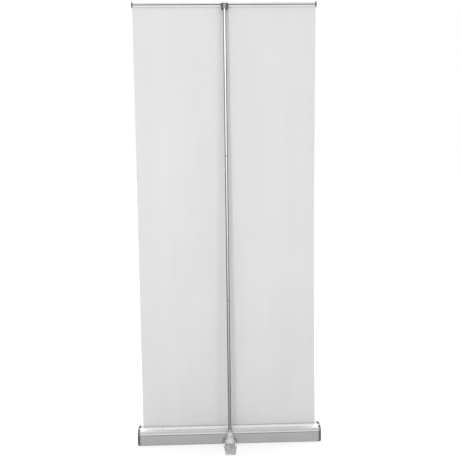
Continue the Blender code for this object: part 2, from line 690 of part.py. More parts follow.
# ---- boot and foot ----------------------------------------------------------------------------
def make_boot(pole):
    """The cast boot on the cassette's back: a gusset, a heel and the socket for the pole."""
    seat = BACK - SEAT_GAP
    bm = bmesh.new()
    bmesh.ops.create_cube(bm, size=1.0)
    for vertex in bm.verts:
        upper = vertex.co.z > 0
        width = BOOT_TOP_WIDTH if upper else BOOT_WIDTH
        depth = BOOT_TOP_DEPTH if upper else BOOT_DEPTH
        vertex.co.x *= width
        vertex.co.y = seat if vertex.co.y > 0 else BACK - depth
        vertex.co.z = BOOT_TOP if upper else BOOT_UNDERCUT
    boot = link_mesh("pole_boot", bm, "cast metal")
    half = BOOT_WIDTH / 2
    heel_back = BACK - BOOT_HEEL_DEPTH
    heel = block("boot_heel", (-half, heel_back, BOOT_LIFT), (half, seat, BOOT_UNDERCUT + JOIN_LAP))
    lift = POLE_FOOT
    collar = rod("boot_socket", SOCKET_BORE + SOCKET_WALL, 0, SOCKET_TOP - lift, sides=32)
    place(collar, parent=pole)
    bore = rod("boot_bore", SOCKET_BORE, -SEAT_GAP, SOCKET_TOP, sides=32)
    place(bore, parent=pole)
    wall = block("boot_face", (-BOOT_WIDTH, seat, -POLE_FOOT), (BOOT_WIDTH, -BACK, 2 * SOCKET_TOP))
    hinge = rod("boot_hinge_hole", HINGE_RADIUS + RUN_GAP, -BOOT_WIDTH, BOOT_WIDTH, sides=16)
    place(hinge, (0, HINGE_Y, HINGE_HEIGHT), ALONG_X)
    join(boot, heel, collar)
    cut(boot, bore, wall, hinge)
    for word, side in (("left", -1), ("right", 1)):
        place_screw(boot, word, side)
    return boot


def place_screw(boot, word, side):
    """One of the two screws that hold the boot, put in from inside the cassette."""
    x = side * BOOT_SCREW_SPACING / 2
    inner_wall = BACK + SHELL_WALL + SEAT_GAP
    bore = BOOT_SCREW_RADIUS + SEAT_GAP
    hole = rod(f"boot_screw_well_{word}", bore, -CUT_PAST, BOOT_SCREW_LENGTH, sides=12)
    place(hole, (x, BACK, BOOT_SCREW_HEIGHT), (pi / 2, 0, 0))
    cut(boot, hole)
    screw = headed_screw(
        f"boot_screw_{word}",
        BOOT_SCREW_HEAD,
        BOOT_SCREW_HEAD_HEIGHT,
        BOOT_SCREW_RADIUS,
        BOOT_SCREW_LENGTH,
        "steel",
    )
    place(screw, (x, inner_wall, BOOT_SCREW_HEIGHT), (-pi / 2, 0, 0))


def foot_outline():
    """The plate's outline seen from above, about the hinge's own place on the plate."""
    root, tip = BACK - FOOT_ROOT, BACK - FOOT_TIP
    near, far = FOOT_ROOT_WIDTH / 2, FOOT_TIP_WIDTH / 2
    r = FOOT_CORNER
    right = arc((far - r, tip + r), (r, r), 0, -pi / 2, 4)
    left = [(-x, y) for x, y in reversed(right)]
    return [(near, root)] + right + left + [(-near, root)]


def ear_outline():
    """One ear seen from the side: round the hinge pin, and running out along the plate."""
    low = FOOT_UNDERSIDE + JOIN_LAP
    crown = arc((HINGE_Y, HINGE_HEIGHT), (EAR_RADIUS, EAR_RADIUS), radians(120), radians(-70), 8)
    return [(HINGE_Y - EAR_REACH, low)] + crown + [(BACK - FOOT_ROOT - JOIN_LAP, low)]


def make_foot():
    frame = add_frame("foot_axis", (0, HINGE_Y, HINGE_HEIGHT))
    level = FOOT_UNDERSIDE + FOOT_THICKNESS / 2
    foot = outline("foot_plate", foot_outline(), FOOT_THICKNESS, "cast metal", at=(0, 0, level))
    for word, side in (("left", -1), ("right", 1)):
        x = side * (HINGE_HALF - EAR_THICKNESS / 2)
        ear = outline(f"foot_ear_{word}", ear_outline(), EAR_THICKNESS, None, SECTION_TURN, (x, 0, 0))
        join(foot, ear)
    hole = rod("foot_hinge_hole", HINGE_RADIUS + SEAT_GAP, -BOOT_WIDTH, BOOT_WIDTH, sides=16)
    place(hole, (0, HINGE_Y, HINGE_HEIGHT), ALONG_X)
    cut(foot, hole)
    far = BACK - FOOT_TIP + PAD_INSET
    pad = block(
        "foot_pad",
        (-PAD_WIDTH / 2, far, 0),
        (PAD_WIDTH / 2, far + PAD_LENGTH, FOOT_UNDERSIDE - SEAT_GAP),
        "rubber",
    )
    keep_place(foot, frame)
    keep_place(pad, frame)
    pin_half = HINGE_HALF + KNOB_SEAT
    pin = rod("hinge_pin", HINGE_RADIUS, -pin_half, pin_half, "steel", 16)
    place(pin, (0, HINGE_Y, HINGE_HEIGHT), ALONG_X)
    keep_place(pin, frame)
    for word, side in (("left", -1), ("right", 1)):
        near = HINGE_HALF + SEAT_GAP
        profile = [
            (0, near + KNOB_THICKNESS),
            (KNOB_RADIUS * 0.75, near + KNOB_THICKNESS),
            (KNOB_RADIUS, near + KNOB_THICKNESS * 0.6),
            (KNOB_RADIUS, near),
            (HINGE_RADIUS + SEAT_GAP, near),
            (HINGE_RADIUS + SEAT_GAP, near + KNOB_SEAT),
            (0, near + KNOB_SEAT),
        ]
        knob = turned(f"hinge_knob_{word}", profile, "black", 20)
        place(knob, (0, HINGE_Y, HINGE_HEIGHT), (0, side * pi / 2, 0))
        keep_place(knob, frame)


# ---- the whole stand --------------------------------------------------------------------------
def shade_round_pieces():
    for piece in bpy.data.collections["banner_stand"].objects:
        if piece.type == "MESH":
            piece.data.shade_smooth()
            piece.data.set_sharp_from_angle(angle=radians(35))


def main():
    start_scene()
    make_shell()
    make_felts()
    make_cap("left", -1)
    make_cap("right", 1)
    make_roller()
    make_shafts()
    make_banner()
    make_rail()
    pole = make_pole()
    make_head(pole)
    make_boot(pole)
    make_foot()
    shade_round_pieces()


main()
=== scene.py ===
import json
from math import atan2, cos, exp, pi, radians, sin

import bmesh
import bpy
from mathutils import Matrix, Vector


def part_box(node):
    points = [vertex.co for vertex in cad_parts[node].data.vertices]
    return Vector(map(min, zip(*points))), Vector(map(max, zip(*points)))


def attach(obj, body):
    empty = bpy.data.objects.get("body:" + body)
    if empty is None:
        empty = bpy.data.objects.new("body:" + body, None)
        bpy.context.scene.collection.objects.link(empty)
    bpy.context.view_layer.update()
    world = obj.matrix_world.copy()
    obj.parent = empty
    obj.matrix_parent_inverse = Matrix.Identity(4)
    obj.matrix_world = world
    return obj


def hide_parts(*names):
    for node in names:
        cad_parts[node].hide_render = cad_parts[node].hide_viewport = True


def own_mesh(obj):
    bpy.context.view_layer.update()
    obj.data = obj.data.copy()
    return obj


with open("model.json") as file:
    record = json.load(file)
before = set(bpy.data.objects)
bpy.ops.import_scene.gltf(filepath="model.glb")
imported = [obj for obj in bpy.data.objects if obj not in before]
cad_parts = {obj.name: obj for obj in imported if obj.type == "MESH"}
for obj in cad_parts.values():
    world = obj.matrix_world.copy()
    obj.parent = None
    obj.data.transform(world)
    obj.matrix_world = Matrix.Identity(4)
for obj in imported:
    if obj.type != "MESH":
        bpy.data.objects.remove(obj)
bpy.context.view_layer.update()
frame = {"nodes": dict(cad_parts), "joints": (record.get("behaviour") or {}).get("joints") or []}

# ---- places read from the frame ----
SHELL_LOW, SHELL_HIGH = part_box("cassette_shell")
CAP_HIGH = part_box("end_cap_right")[1]
BANNER_LOW, BANNER_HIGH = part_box("banner_sheet")
RAIL_LOW, RAIL_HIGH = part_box("top_rail")
RAIL_CAP_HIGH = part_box("rail_cap_right")[1]
HEAD_LOW, HEAD_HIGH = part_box("pole_head")
TONGUE_LOW, TONGUE_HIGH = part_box("hook_tongue")
RIVET_LOW, RIVET_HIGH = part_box("hook_rivet")
BOOT_LOW, BOOT_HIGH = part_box("pole_boot")
FOOT_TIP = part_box("foot_plate")[0].y
PAD_LOW, PAD_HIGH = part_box("foot_pad")
PIN_LOW, PIN_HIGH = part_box("hinge_pin")
KNOB_LOW, KNOB_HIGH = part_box("hinge_knob_right")
JOINTS = {joint["name"]: joint for joint in frame["joints"]}

BACK = SHELL_LOW.y
BASE_TOP = SHELL_HIGH.z
LEAN = atan2(JOINTS["pole_lift"]["axis"][1], JOINTS["pole_lift"]["axis"][2])
HINGE = Vector((0, (PIN_LOW.y + PIN_HIGH.y) / 2, (PIN_LOW.z + PIN_HIGH.z) / 2))

# ---- cassette ----
SLOT_HALF = 0.004
SHELL_WALL = 0.0022
FLOOR_CORNER = 0.005
SHOULDER_HEIGHT = 0.052
GROOVE_HEIGHT = 0.0026
GROOVE_DEPTH = 0.0011
LIP_ROUND = 0.0007
CAP_THICKNESS = CAP_HIGH.x - SHELL_HIGH.x
CAP_ROUND_LENGTH = 0.0095   # how much of the cap's thickness its rounded rim takes
CAP_ROUND_DROP = 0.0085     # how far the rim draws in at the end face
CAP_SPIGOT = 0.008
SCREW_SUNK = 0.0006         # how far each head sits into its seat
CAP_SCREW_LEAN = radians(52)
SCREW_HEAD = 0.0045
SCREW_HEAD_HEIGHT = 0.0021
SCREW_SHANK = 0.0016
SEAT_GAP = 0.0003
SCREW_EDGE = 0.0006         # from the shell's end to the screw heads
SCREW_WELL = 0.0108         # how deep each screw's hole is
BOLT_SPREAD = 0.016         # the boot's screws, out from the middle and up from the floor
BOLT_LEVEL = 0.010
BOLT_BORE = 0.0023

# ---- rail and banner ----
RAIL_HALF = RAIL_HIGH.x
RAIL_DEPTH_HALF = RAIL_HIGH.y
RAIL_SLOT_HALF = 0.0015
RAIL_SLOT_DEPTH = 0.0075
HOOK_LEVEL = 0.011          # middle of the hook groove over the rail's foot
HOOK_HALF = 0.002
HOOK_DEPTH = 0.0035
RAIL_CAP_GROW = 0.0012
RAIL_CAP_LAP = 0.0025
RAIL_CAP_RIM = 0.0016
BANNER_THICKNESS = BANNER_HIGH.y - BANNER_LOW.y
NECK_LEFT = 0.0             # how far each edge draws in under tension
NECK_RIGHT = 0.006
WAVE_END = 0.72             # the share of its height where the film lies flat again

# ---- pole ----
POLE_RADIUS = 0.0095
POLE_WALL = 0.001
COLLAR = 0.0018
FERRULE_REACH = 0.045
CORD_BORE = 0.003
SOCKET_BORE = 0.0099
SOCKET_WALL = 0.0024
SOCKET_TOP = 0.080
HOOK_BORE = 0.0023          # for the rivet
BODY_STEP = 0.0022          # from the rib's face in to the head's body
DIMPLE = 0.0017
DIMPLE_DEPTH = 0.0012


def pole_ends():
    """The pole's foot on its axis, and its length, worked out from the tubes' boxes."""
    low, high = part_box("pole_lower")[0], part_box("pole_upper")[1]
    foot = Vector((0, low.y + POLE_RADIUS * cos(LEAN), low.z + POLE_RADIUS * sin(LEAN)))
    return foot, (high.z - POLE_RADIUS * sin(LEAN) - foot.z) / cos(LEAN)


POLE_FOOT, POLE_LENGTH = pole_ends()
TUBE_LENGTH = (POLE_LENGTH - 2 * COLLAR) / 3
ALONG_POLE = Matrix.Translation(POLE_FOOT) @ Matrix.Rotation(-LEAN, 4, "X")
ALONG_X = Matrix.Rotation(pi / 2, 4, "Y")
SECTION_TURN = Matrix(((0, 0, 1, 0), (1, 0, 0, 0), (0, 1, 0, 0), (0, 0, 0, 1)))   # outline to world Y and Z
FACING_BACK = Matrix.Rotation(pi / 2, 4, "X")   # local Z to world -Y
AT_RIVET = Matrix.Translation((0, (RIVET_LOW.y + RIVET_HIGH.y) / 2, 0))


# ---- shader maths ----
MIX_FIRST, MIX_SECOND, MIX_RESULT = 6, 7, 2   # where a Mix node's colour sockets are
OBJECT_PLACE = 3                              # where a Texture Coordinate node's Object output is


class Wire:
    """An output of a shader node. Sums, products and the like of wires add Math nodes to their tree."""

    def __init__(self, tree, socket=None):
        self.tree = tree
        self.socket = socket

    def node(self, kind, settings=None, values=None, output=0):
        """Add a node: its settings are set first, and then each socket gets a value or a link."""
        made = self.tree.nodes.new(kind)
        for name, value in (settings or {}).items():
            if name == "stops":
                set_stops(made.color_ramp, value)
            else:
                setattr(made, name, value)
        for name, value in (values or {}).items():
            if isinstance(value, Wire):
                self.tree.links.new(value.socket, made.inputs[name])
            else:
                made.inputs[name].default_value = value
        return Wire(self.tree, made.outputs[output])

    def maths(self, operation, *others, reverse=False):
        """A Math node of this value and others, the last one first where reversed."""
        terms = [self, *others]
        if reverse:
            terms.reverse()
        return self.node("ShaderNodeMath", {"operation": operation}, dict(enumerate(terms)))

    def __add__(self, other):
        return self.maths("ADD", other)

    def __sub__(self, other):
        return self.maths("SUBTRACT", other)

    def __rsub__(self, other):
        return self.maths("SUBTRACT", other, reverse=True)

    def __mul__(self, other):
        return self.maths("MULTIPLY", other)

    __radd__ = __add__
    __rmul__ = __mul__

    def size(self):
        return self.maths("ABSOLUTE")

    def smooth(self, low, high, start=0.0, end=1.0):
        """Go smoothly from start to end as the value goes from low to high."""
        settings = {"interpolation_type": "SMOOTHSTEP"}
        values = {"Value": self, "From Min": low, "From Max": high, "To Min": start, "To Max": end}
        return self.node("ShaderNodeMapRange", settings, values)

    def fade(self, low, high):
        """Go smoothly from one to nothing as the value goes from low to high."""
        return self.smooth(low, high, 1.0, 0.0)

    def ramp(self, stops):
        return self.node("ShaderNodeValToRGB", {"stops": stops}, {"Fac": self})

    def mix(self, first, second):
        """A colour between two, by this value."""
        return self.colour_node("MIX", self, first, second)

    def tint(self, blend, other):
        """This colour with another added to it or multiplied by it."""
        return self.colour_node(blend, 1.0, self, other)

    def colour_node(self, blend, factor, first, second):
        """A Mix node set to colours, whose colour sockets share their names with its number sockets."""
        settings = {"data_type": "RGBA", "blend_type": blend}
        colours = {MIX_FIRST: as_colour(first), MIX_SECOND: as_colour(second)}
        return self.node("ShaderNodeMix", settings, {0: factor, **colours}, MIX_RESULT)

    def place(self, scale=(1, 1, 1), turn=(0, 0, 0)):
        """Object coordinates, turned and then stretched."""
        spot = self.node("ShaderNodeTexCoord", output=OBJECT_PLACE)
        turned_spot = self.node("ShaderNodeMapping", None, {"Vector": spot, "Rotation": turn})
        return self.node("ShaderNodeMapping", None, {"Vector": turned_spot, "Scale": scale})

    def noise(self, scale, stretch=(1, 1, 1), detail=2.0, roughness=0.5, turn=(0, 0, 0)):
        values = {"Vector": self.place(stretch, turn), "Scale": scale}
        values.update({"Detail": detail, "Roughness": roughness})
        return self.node("ShaderNodeTexNoise", None, values)

    def cells(self, scale):
        return self.node("ShaderNodeTexVoronoi", None, {"Vector": self.place(), "Scale": scale})

    def split(self):
        """The x, y and z of this vector."""
        return [self.node("ShaderNodeSeparateXYZ", None, {"Vector": self}, output) for output in range(3)]

    def bump(self, distance, strength):
        """A relief from this height."""
        values = {"Height": self, "Distance": distance, "Strength": strength}
        return self.node("ShaderNodeBump", None, values)


def set_stops(ramp, stops):
    while len(ramp.elements) < len(stops):
        ramp.elements.new(1.0)
    for element, (position, colour) in zip(ramp.elements, stops):
        element.position = position
        element.color = as_colour(colour)


def as_colour(value):
    if isinstance(value, Wire):
        return value
    if isinstance(value, (int, float)):
        return (value, value, value, 1.0)
    return (*value, 1.0)


def new_finish(name, **plain):
    """A material whose shader has plain values, with a wire to start its pattern from."""
    material = bpy.data.materials.new(name)
    material.use_nodes = True
    shader = material.node_tree.nodes["Principled BSDF"]
    for words, value in plain.items():
        shader.inputs[words.replace("_", " ").title().replace("Ior", "IOR")].default_value = value
    return material, Wire(material.node_tree)


def feed(material, **wires):
    shader = material.node_tree.nodes["Principled BSDF"]
    for words, wire in wires.items():
        material.node_tree.links.new(wire.socket, shader.inputs[words.replace("_", " ").title()])
    return material


# ---- finishes ----
DIE_LINES = (0.6, 60, 60)   # stretch of a pattern that runs along X
GROOVE_SHADE_SHARE = 0.85                # how much of the groove's colour its painted shade takes


def extruded_aluminium(name, base, groove, crest):
    """Satin anodised extrusion: die lines and scuffs, painted shade in its groove (z, y) and a painted
    highlight along its crest.
    """
    material, start = new_finish(name, metallic=0.55)
    lines = start.noise(22, DIE_LINES, detail=4, roughness=0.65)
    fine = start.noise(90, DIE_LINES, detail=1)
    cloud = start.noise(9, detail=3)
    scuff = start.noise(34, (0.25, 3.0, 3.0), detail=5, roughness=0.75).smooth(0.66, 0.78)
    tone = lines * 0.5 + cloud * 0.35 + fine * 0.15
    colour = tone.mix(tuple(0.90 * c for c in base), tuple(1.06 * c for c in base))
    level, face = groove
    _, y, z = start.place().split()
    # painted shade: inside the groove the colour is mixed towards near-black 0.06
    sunk = y.smooth(face, face + 0.0010) * y.fade(face + 0.004, face + 0.005)
    painted_groove_shade = sunk * (z - level).size().fade(0.0030, 0.0042) * GROOVE_SHADE_SHARE
    # painted highlight: the top few millimetres under the crest are mixed towards near-white 0.98
    painted_crest_highlight = z.smooth(crest - 0.0065, crest - 0.0030)
    colour = painted_crest_highlight.mix(painted_groove_shade.mix(colour, 0.06), 0.98)
    rough = 0.30 + cloud.smooth(0.35, 0.7) * 0.08 + lines * 0.05 + scuff * 0.12 - painted_crest_highlight * 0.12
    relief = (lines * 0.6 + fine * 0.4).bump(0.00004, 0.5)
    return feed(material, base_color=colour, roughness=rough, normal=relief)


def drawn_tube():
    """Bright drawn and anodised tube, with fine draw lines along the pole."""
    material, start = new_finish("drawn_tube", metallic=1.0)
    upright = (LEAN, 0, 0)
    lines = start.noise(70, (8, 8, 0.08), detail=3, turn=upright)
    cloud = start.noise(14, (1, 1, 0.5), detail=2, turn=upright)
    rings = start.noise(30, (0.3, 0.3, 9), detail=2, turn=upright).smooth(0.60, 0.80)
    colour = (lines * 0.6 + cloud * 0.4).mix(0.80, 0.90)
    rough = 0.13 + cloud.smooth(0.4, 0.7) * 0.05 + lines * 0.04 + rings * 0.03
    return feed(material, base_color=colour, roughness=rough, normal=lines.bump(0.00001, 0.2))


PLASTIC_GRAIN = 1400
PLASTIC_RELIEF = 0.00004


def moulded_plastic(name, dark, light, roughness, metallic=0.0):
    """Moulded plastic with a fine spark-eroded grain and slight flow clouding."""
    material, start = new_finish(name, metallic=metallic)
    spark = start.noise(PLASTIC_GRAIN, detail=2, roughness=0.7)
    flow = start.noise(46, detail=3)
    rub = start.noise(130, detail=4, roughness=0.7).smooth(0.62, 0.74)
    colour = (flow * 0.7 + spark * 0.3).mix(dark, light)
    rough = roughness - 0.04 + flow * 0.1 - rub * 0.07
    return feed(material, base_color=colour, roughness=rough, normal=spark.bump(PLASTIC_RELIEF, 0.6))


def hook_moulding():
    """Dark grained plastic with a painted highlight: its standing rib is much paler along its crest."""
    material, start = new_finish("hook_head_grey")
    spark = start.noise(PLASTIC_GRAIN, detail=2, roughness=0.7)
    flow = start.noise(90, detail=3)
    x, y, _ = start.place().split()
    # painted highlight: the rib's crest gets a pale grey 0.20 to 0.30 in place of the dark grey
    crest = x.size().fade(0.0035, 0.0085) * y.fade(HEAD_LOW.y + 0.004, HEAD_LOW.y + 0.009)
    shades = flow * 0.6 + spark * 0.4
    colour = crest.mix(shades.mix(0.055, 0.085), shades.mix(0.20, 0.30))
    rough = 0.42 - crest * 0.08 + flow * 0.06
    return feed(material, base_color=colour, roughness=rough, normal=spark.bump(PLASTIC_RELIEF, 0.6))


def cast_silver():
    """A die casting sprayed silver: mottled tone, orange-peel skin and flake in the paint."""
    material, start = new_finish("cast_silver", metallic=0.78)
    mottle = start.noise(210, detail=3, roughness=0.6)
    peel = start.noise(620, detail=2)
    flake = start.cells(3800)
    patch = start.noise(60, detail=2).smooth(0.38, 0.64)
    tone = mottle * 0.5 + patch * 0.3 + flake * 0.2
    colour = tone.smooth(0.25, 0.75).mix(0.57, 0.79)
    rough = 0.36 + mottle * 0.16 - patch * 0.05
    skin = (mottle * 0.75 + peel * 0.25).bump(0.00035, 0.55)
    return feed(material, base_color=colour, roughness=rough, normal=skin)


def plain_steel(name, dark, light, roughness):
    """Bare or blackened steel with a fine lay from drawing or turning."""
    material, start = new_finish(name, metallic=1.0)
    lay_lines = start.noise(60, (1, 40, 40), detail=3)
    stain = start.noise(140, detail=4, roughness=0.65)
    colour = (lay_lines * 0.4 + stain * 0.6).smooth(0.3, 0.7).mix(dark, light)
    rough = roughness + stain * 0.12
    return feed(material, base_color=colour, roughness=rough, normal=lay_lines.bump(0.00002, 0.4))


def black_oxide():
    """Blackened screw heads, rubbed a little at their high places."""
    material, start = new_finish("black_oxide", specular_ior_level=0.3)
    grain = start.noise(900, detail=3)
    rub = start.noise(420, detail=4, roughness=0.75).smooth(0.60, 0.72)
    colour = (grain * 0.4 + rub * 0.6).mix(0.003, 0.014)
    rough = 0.52 - rub * 0.10
    return feed(material, base_color=colour, roughness=rough, normal=grain.bump(0.00003, 0.5))


def ribbed_rubber():
    """Black rubber with a grey bloom."""
    material, start = new_finish("pad_rubber", specular_ior_level=0.35)
    bloom = start.noise(180, detail=4, roughness=0.7)
    grain = start.noise(2200, detail=2)
    colour = bloom.smooth(0.35, 0.7).mix(0.020, 0.055)
    rough = 0.78 + bloom * 0.12
    return feed(material, base_color=colour, roughness=rough, normal=grain.bump(0.00006, 0.7))


def brushed_felt():
    """Felt strip: short fibres lying every way over a darker mat."""
    material, start = new_finish("slot_felt", roughness=0.95, sheen_weight=0.4, sheen_roughness=0.6)
    fibres = start.noise(1900, (0.35, 1, 1), detail=5, roughness=0.8)
    mat = start.noise(300, detail=3)
    colour = (fibres * 0.7 + mat * 0.3).smooth(0.3, 0.7).mix(0.06, 0.26)
    return feed(material, base_color=colour, normal=fibres.bump(0.0004, 0.8))


THREADS = 1150        # of the banner's weave, to the metre
BRAID_STRANDS = 8
BRAID_PITCH = 2600    # radians of the braid's pattern to the metre


def banner_back():
    """Grey back of the banner film: a fine canvas emboss, slight clouding and long tension bands."""
    sheen = {"sheen_weight": 0.06, "sheen_roughness": 0.5}
    material, start = new_finish("banner_back", specular_ior_level=0.32, **sheen)
    x, _, z = start.place().split()
    warp = (x * (2 * pi * THREADS)).maths("SINE")
    weft = (z * (2 * pi * THREADS)).maths("SINE")
    weave = warp * 0.25 + weft * 0.25 + 0.5
    cloud = start.noise(5, (1, 1, 0.6), detail=3)
    bands = start.noise(9, (1, 1, 0.05), detail=2)
    fleck = start.noise(900, detail=2)
    tone = cloud * 0.4 + bands * 0.35 + fleck * 0.15 + weave * 0.10
    colour = tone.smooth(0.2, 0.8).mix((0.548, 0.548, 0.550), (0.598, 0.598, 0.596))
    rough = 0.56 + cloud * 0.08 + weave * 0.05
    return feed(material, base_color=colour, roughness=rough, normal=weave.bump(0.00005, 0.35))


def clear_leader():
    """Leader film wound on the roller: smooth, with the edge of each turn showing."""
    material, start = new_finish("leader_winding", coat_weight=0.15, coat_roughness=0.2)
    turns = start.noise(40, (9, 0.5, 0.5), detail=2)
    haze = start.noise(30, detail=3)
    colour = (turns * 0.6 + haze * 0.4).mix(0.46, 0.70)
    rough = 0.30 + haze * 0.2
    return feed(material, base_color=colour, roughness=rough, normal=turns.bump(0.00004, 0.4))


def braided_cord():
    """Elastic cord under a braided sleeve."""
    material, start = new_finish("braided_cord", sheen_weight=0.3)
    x, y, z = start.place(turn=(LEAN, 0, 0)).split()
    strand = y.maths("ARCTAN2", x) * BRAID_STRANDS
    climb = z * BRAID_PITCH
    braid = (strand + climb).maths("SINE").maths("MAXIMUM", (strand - climb).maths("SINE"))
    colour = braid.smooth(-0.4, 1.0).mix(0.34, 0.74)
    rough = 0.72 + braid * 0.08
    return feed(material, base_color=colour, roughness=rough, normal=braid.bump(0.0002, 0.7))


# ---- ways to shape a piece ----
def ellipse(centre, radii, start, end, steps):
    """Points on an ellipse from one angle to another."""
    angles = [start + (end - start) * i / steps for i in range(steps + 1)]
    return [(centre[0] + radii[0] * cos(a), centre[1] + radii[1] * sin(a)) for a in angles]


def rounded(points, steps=4):
    """An outline whose points with a third value are turned into round corners of about that size."""
    result = []
    for index, point in enumerate(points):
        corner = Vector(point[:2])
        if len(point) == 2:
            result.append(corner)
            continue
        before = Vector(points[index - 1][:2]) - corner
        after = Vector(points[(index + 1) % len(points)][:2]) - corner
        one = corner + before.normalized() * min(point[2], before.length * 0.5)
        other = corner + after.normalized() * min(point[2], after.length * 0.5)
        for step in range(steps + 1):
            t = step / steps
            result.append(one * (1 - t) ** 2 + corner * 2 * t * (1 - t) + other * t * t)
    return result


def mirrored(points):
    """An outline's other half, in the order that closes it."""
    return [(-point[0], *point[1:]) for point in reversed(points)]


def outline_face(points, level=0.0):
    """A flat face in the XY plane."""
    bm = bmesh.new()
    bm.faces.new([bm.verts.new((x, y, level)) for x, y in points])
    return bm


def pull(bm, faces, offset):
    """Extrude faces along an offset, and return the faces at the new end."""
    made = bmesh.ops.extrude_face_region(bm, geom=faces)["geom"]
    corners = [part for part in made if isinstance(part, bmesh.types.BMVert)]
    bmesh.ops.translate(bm, vec=offset, verts=corners)
    buried = [face for face in faces if face.is_valid and not is_hull(face)]
    bmesh.ops.delete(bm, geom=buried, context="FACES")
    return [part for part in made if isinstance(part, bmesh.types.BMFace)]


def is_hull(face):
    """Whether none of a face's edges is shared by three faces."""
    return all(len(edge.link_faces) <= 2 for edge in face.edges)


def prism(points, thickness, cuts=1):
    """An outline drawn out along local Z in equal steps, closed at both ends."""
    bm = outline_face(points, -thickness / 2)
    end = list(bm.faces)
    for _ in range(cuts):
        end = pull(bm, end, (0, 0, thickness / cuts))
    tidy(bm)
    return bm


SAME_PLACE = 0.000002   # corners closer than this are one


def tidy(bm, distance=SAME_PLACE):
    """Join corners at the same place, and turn every face outwards."""
    bmesh.ops.remove_doubles(bm, verts=bm.verts, dist=distance)
    bmesh.ops.recalc_face_normals(bm, faces=bm.faces)
    return bm


def turned(profile, steps=48, closed=False):
    """Turn (radius, height) points round local Z."""
    bm = bmesh.new()
    points = [bm.verts.new((point[0], 0, point[1])) for point in profile]
    pairs = list(zip(points, points[1:]))
    if closed:
        pairs.append((points[-1], points[0]))
    edges = [bm.edges.new(pair) for pair in pairs]
    bmesh.ops.spin(
        bm, geom=points + edges, cent=(0, 0, 0), axis=(0, 0, 1), angle=2 * pi, steps=steps, use_merge=True
    )
    return tidy(bm)


def rod(radius, low, high, edge=0.0002, steps=48):
    """A closed cylinder along local Z with rounded ends."""
    profile = [(0, low), (radius, low, edge), (radius, high, edge), (0, high)]
    ends = [profile[0]] + list(rounded(profile, 3))[1:-1] + [profile[-1]]
    return turned([tuple(point) for point in ends], steps)


def tube(outer, inner, low, high, edge=0.0003, steps=64):
    """A hollow cylinder along local Z with rounded ends."""
    corners = [(outer, low, edge), (outer, high, edge), (inner, high, edge), (inner, low, edge)]
    return turned(rounded(corners, 2), steps, closed=True)


def block(low, high):
    """A box from one corner to the opposite one."""
    bm = bmesh.new()
    bmesh.ops.create_cube(bm, size=1.0)
    low, high = Vector(low), Vector(high)
    bmesh.ops.scale(bm, vec=high - low, verts=bm.verts)
    bmesh.ops.translate(bm, vec=(low + high) / 2, verts=bm.verts)
    return bm


def round_edges(bm, width, segments=3, sharper_than=radians(40), edges=None):
    """Round the edges that turn more than an angle, or the edges named."""
    if edges is None:
        edges = [edge for edge in bm.edges if edge.is_manifold and edge.calc_face_angle(0) > sharper_than]
    shape = {"offset": width, "segments": segments, "profile": 0.5, "clamp_overlap": True}
    bmesh.ops.bevel(bm, geom=edges, affect="EDGES", material=-1, **shape)
    return bm


def round_over(bm, end, length, drop, pivot, steps, flatness=1.0):
    """Carry faces on round a quarter ellipse, as a rim that draws in towards one height, the pivot."""
    centre = Matrix.Translation((0, -pivot, 0))
    reach, scale = 0.0, 1.0
    for step in range(1, steps + 1):
        angle = step / steps * pi / 2
        far = length * sin(angle)
        share = 1 - drop * (1 - cos(angle))
        end = pull(bm, end, (0, 0, far - reach))
        corners = list({corner for face in end for corner in face.verts})
        ratio = share / scale
        bmesh.ops.scale(bm, vec=(ratio, 1 - (1 - ratio) * flatness, 1), space=centre, verts=corners)
        reach, scale = far, share


def moved(bm, matrix):
    bmesh.ops.transform(bm, matrix=matrix, verts=bm.verts)
    return bm


def carve(bm, *cutters, operation="DIFFERENCE"):
    """Cut closed shapes from another, or join them to it or keep what they share with it."""
    body = loose_object("body", bm)
    for index, cutter in enumerate(cutters):
        change = body.modifiers.new("carve", "BOOLEAN")
        change.operation = operation
        change.solver = "EXACT"
        change.object = loose_object(f"cutter_{index}", cutter)
    bpy.context.view_layer.update()
    evaluated = body.evaluated_get(bpy.context.evaluated_depsgraph_get())
    result = bmesh.new()
    result.from_mesh(evaluated.data)
    used = [body] + [change.object for change in body.modifiers]
    meshes = [thing.data for thing in used]
    for thing in used:
        bpy.data.objects.remove(thing)
    for mesh in meshes:
        bpy.data.meshes.remove(mesh)
    bmesh.ops.remove_doubles(result, verts=result.verts, dist=SAME_PLACE)
    bmesh.ops.dissolve_degenerate(result, edges=result.edges, dist=SAME_PLACE)
    return result


def loose_object(name, bm):
    """An object in the scene from a shape, which is used up."""
    mesh = bpy.data.meshes.new(name)
    bm.to_mesh(mesh)
    bm.free()
    thing = bpy.data.objects.new(name, mesh)
    bpy.context.scene.collection.objects.link(thing)
    return thing


def piece(name, bm, finish, body, replaces=(), sharp=radians(32), even=True):
    """Make a finished piece that rides on a body, takes its finish by name from the finishes table and hides
    the CAD nodes that it stands for.
    """
    made = loose_object(name, bm)
    made.data.shade_smooth()
    made.data.set_sharp_from_angle(angle=sharp)
    made.data.materials.append(FINISH[finish])
    if even:
        made.modifiers.new("even_shading", "WEIGHTED_NORMAL").keep_sharp = True
    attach(made, body)
    if replaces:
        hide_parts(*replaces)
    return made


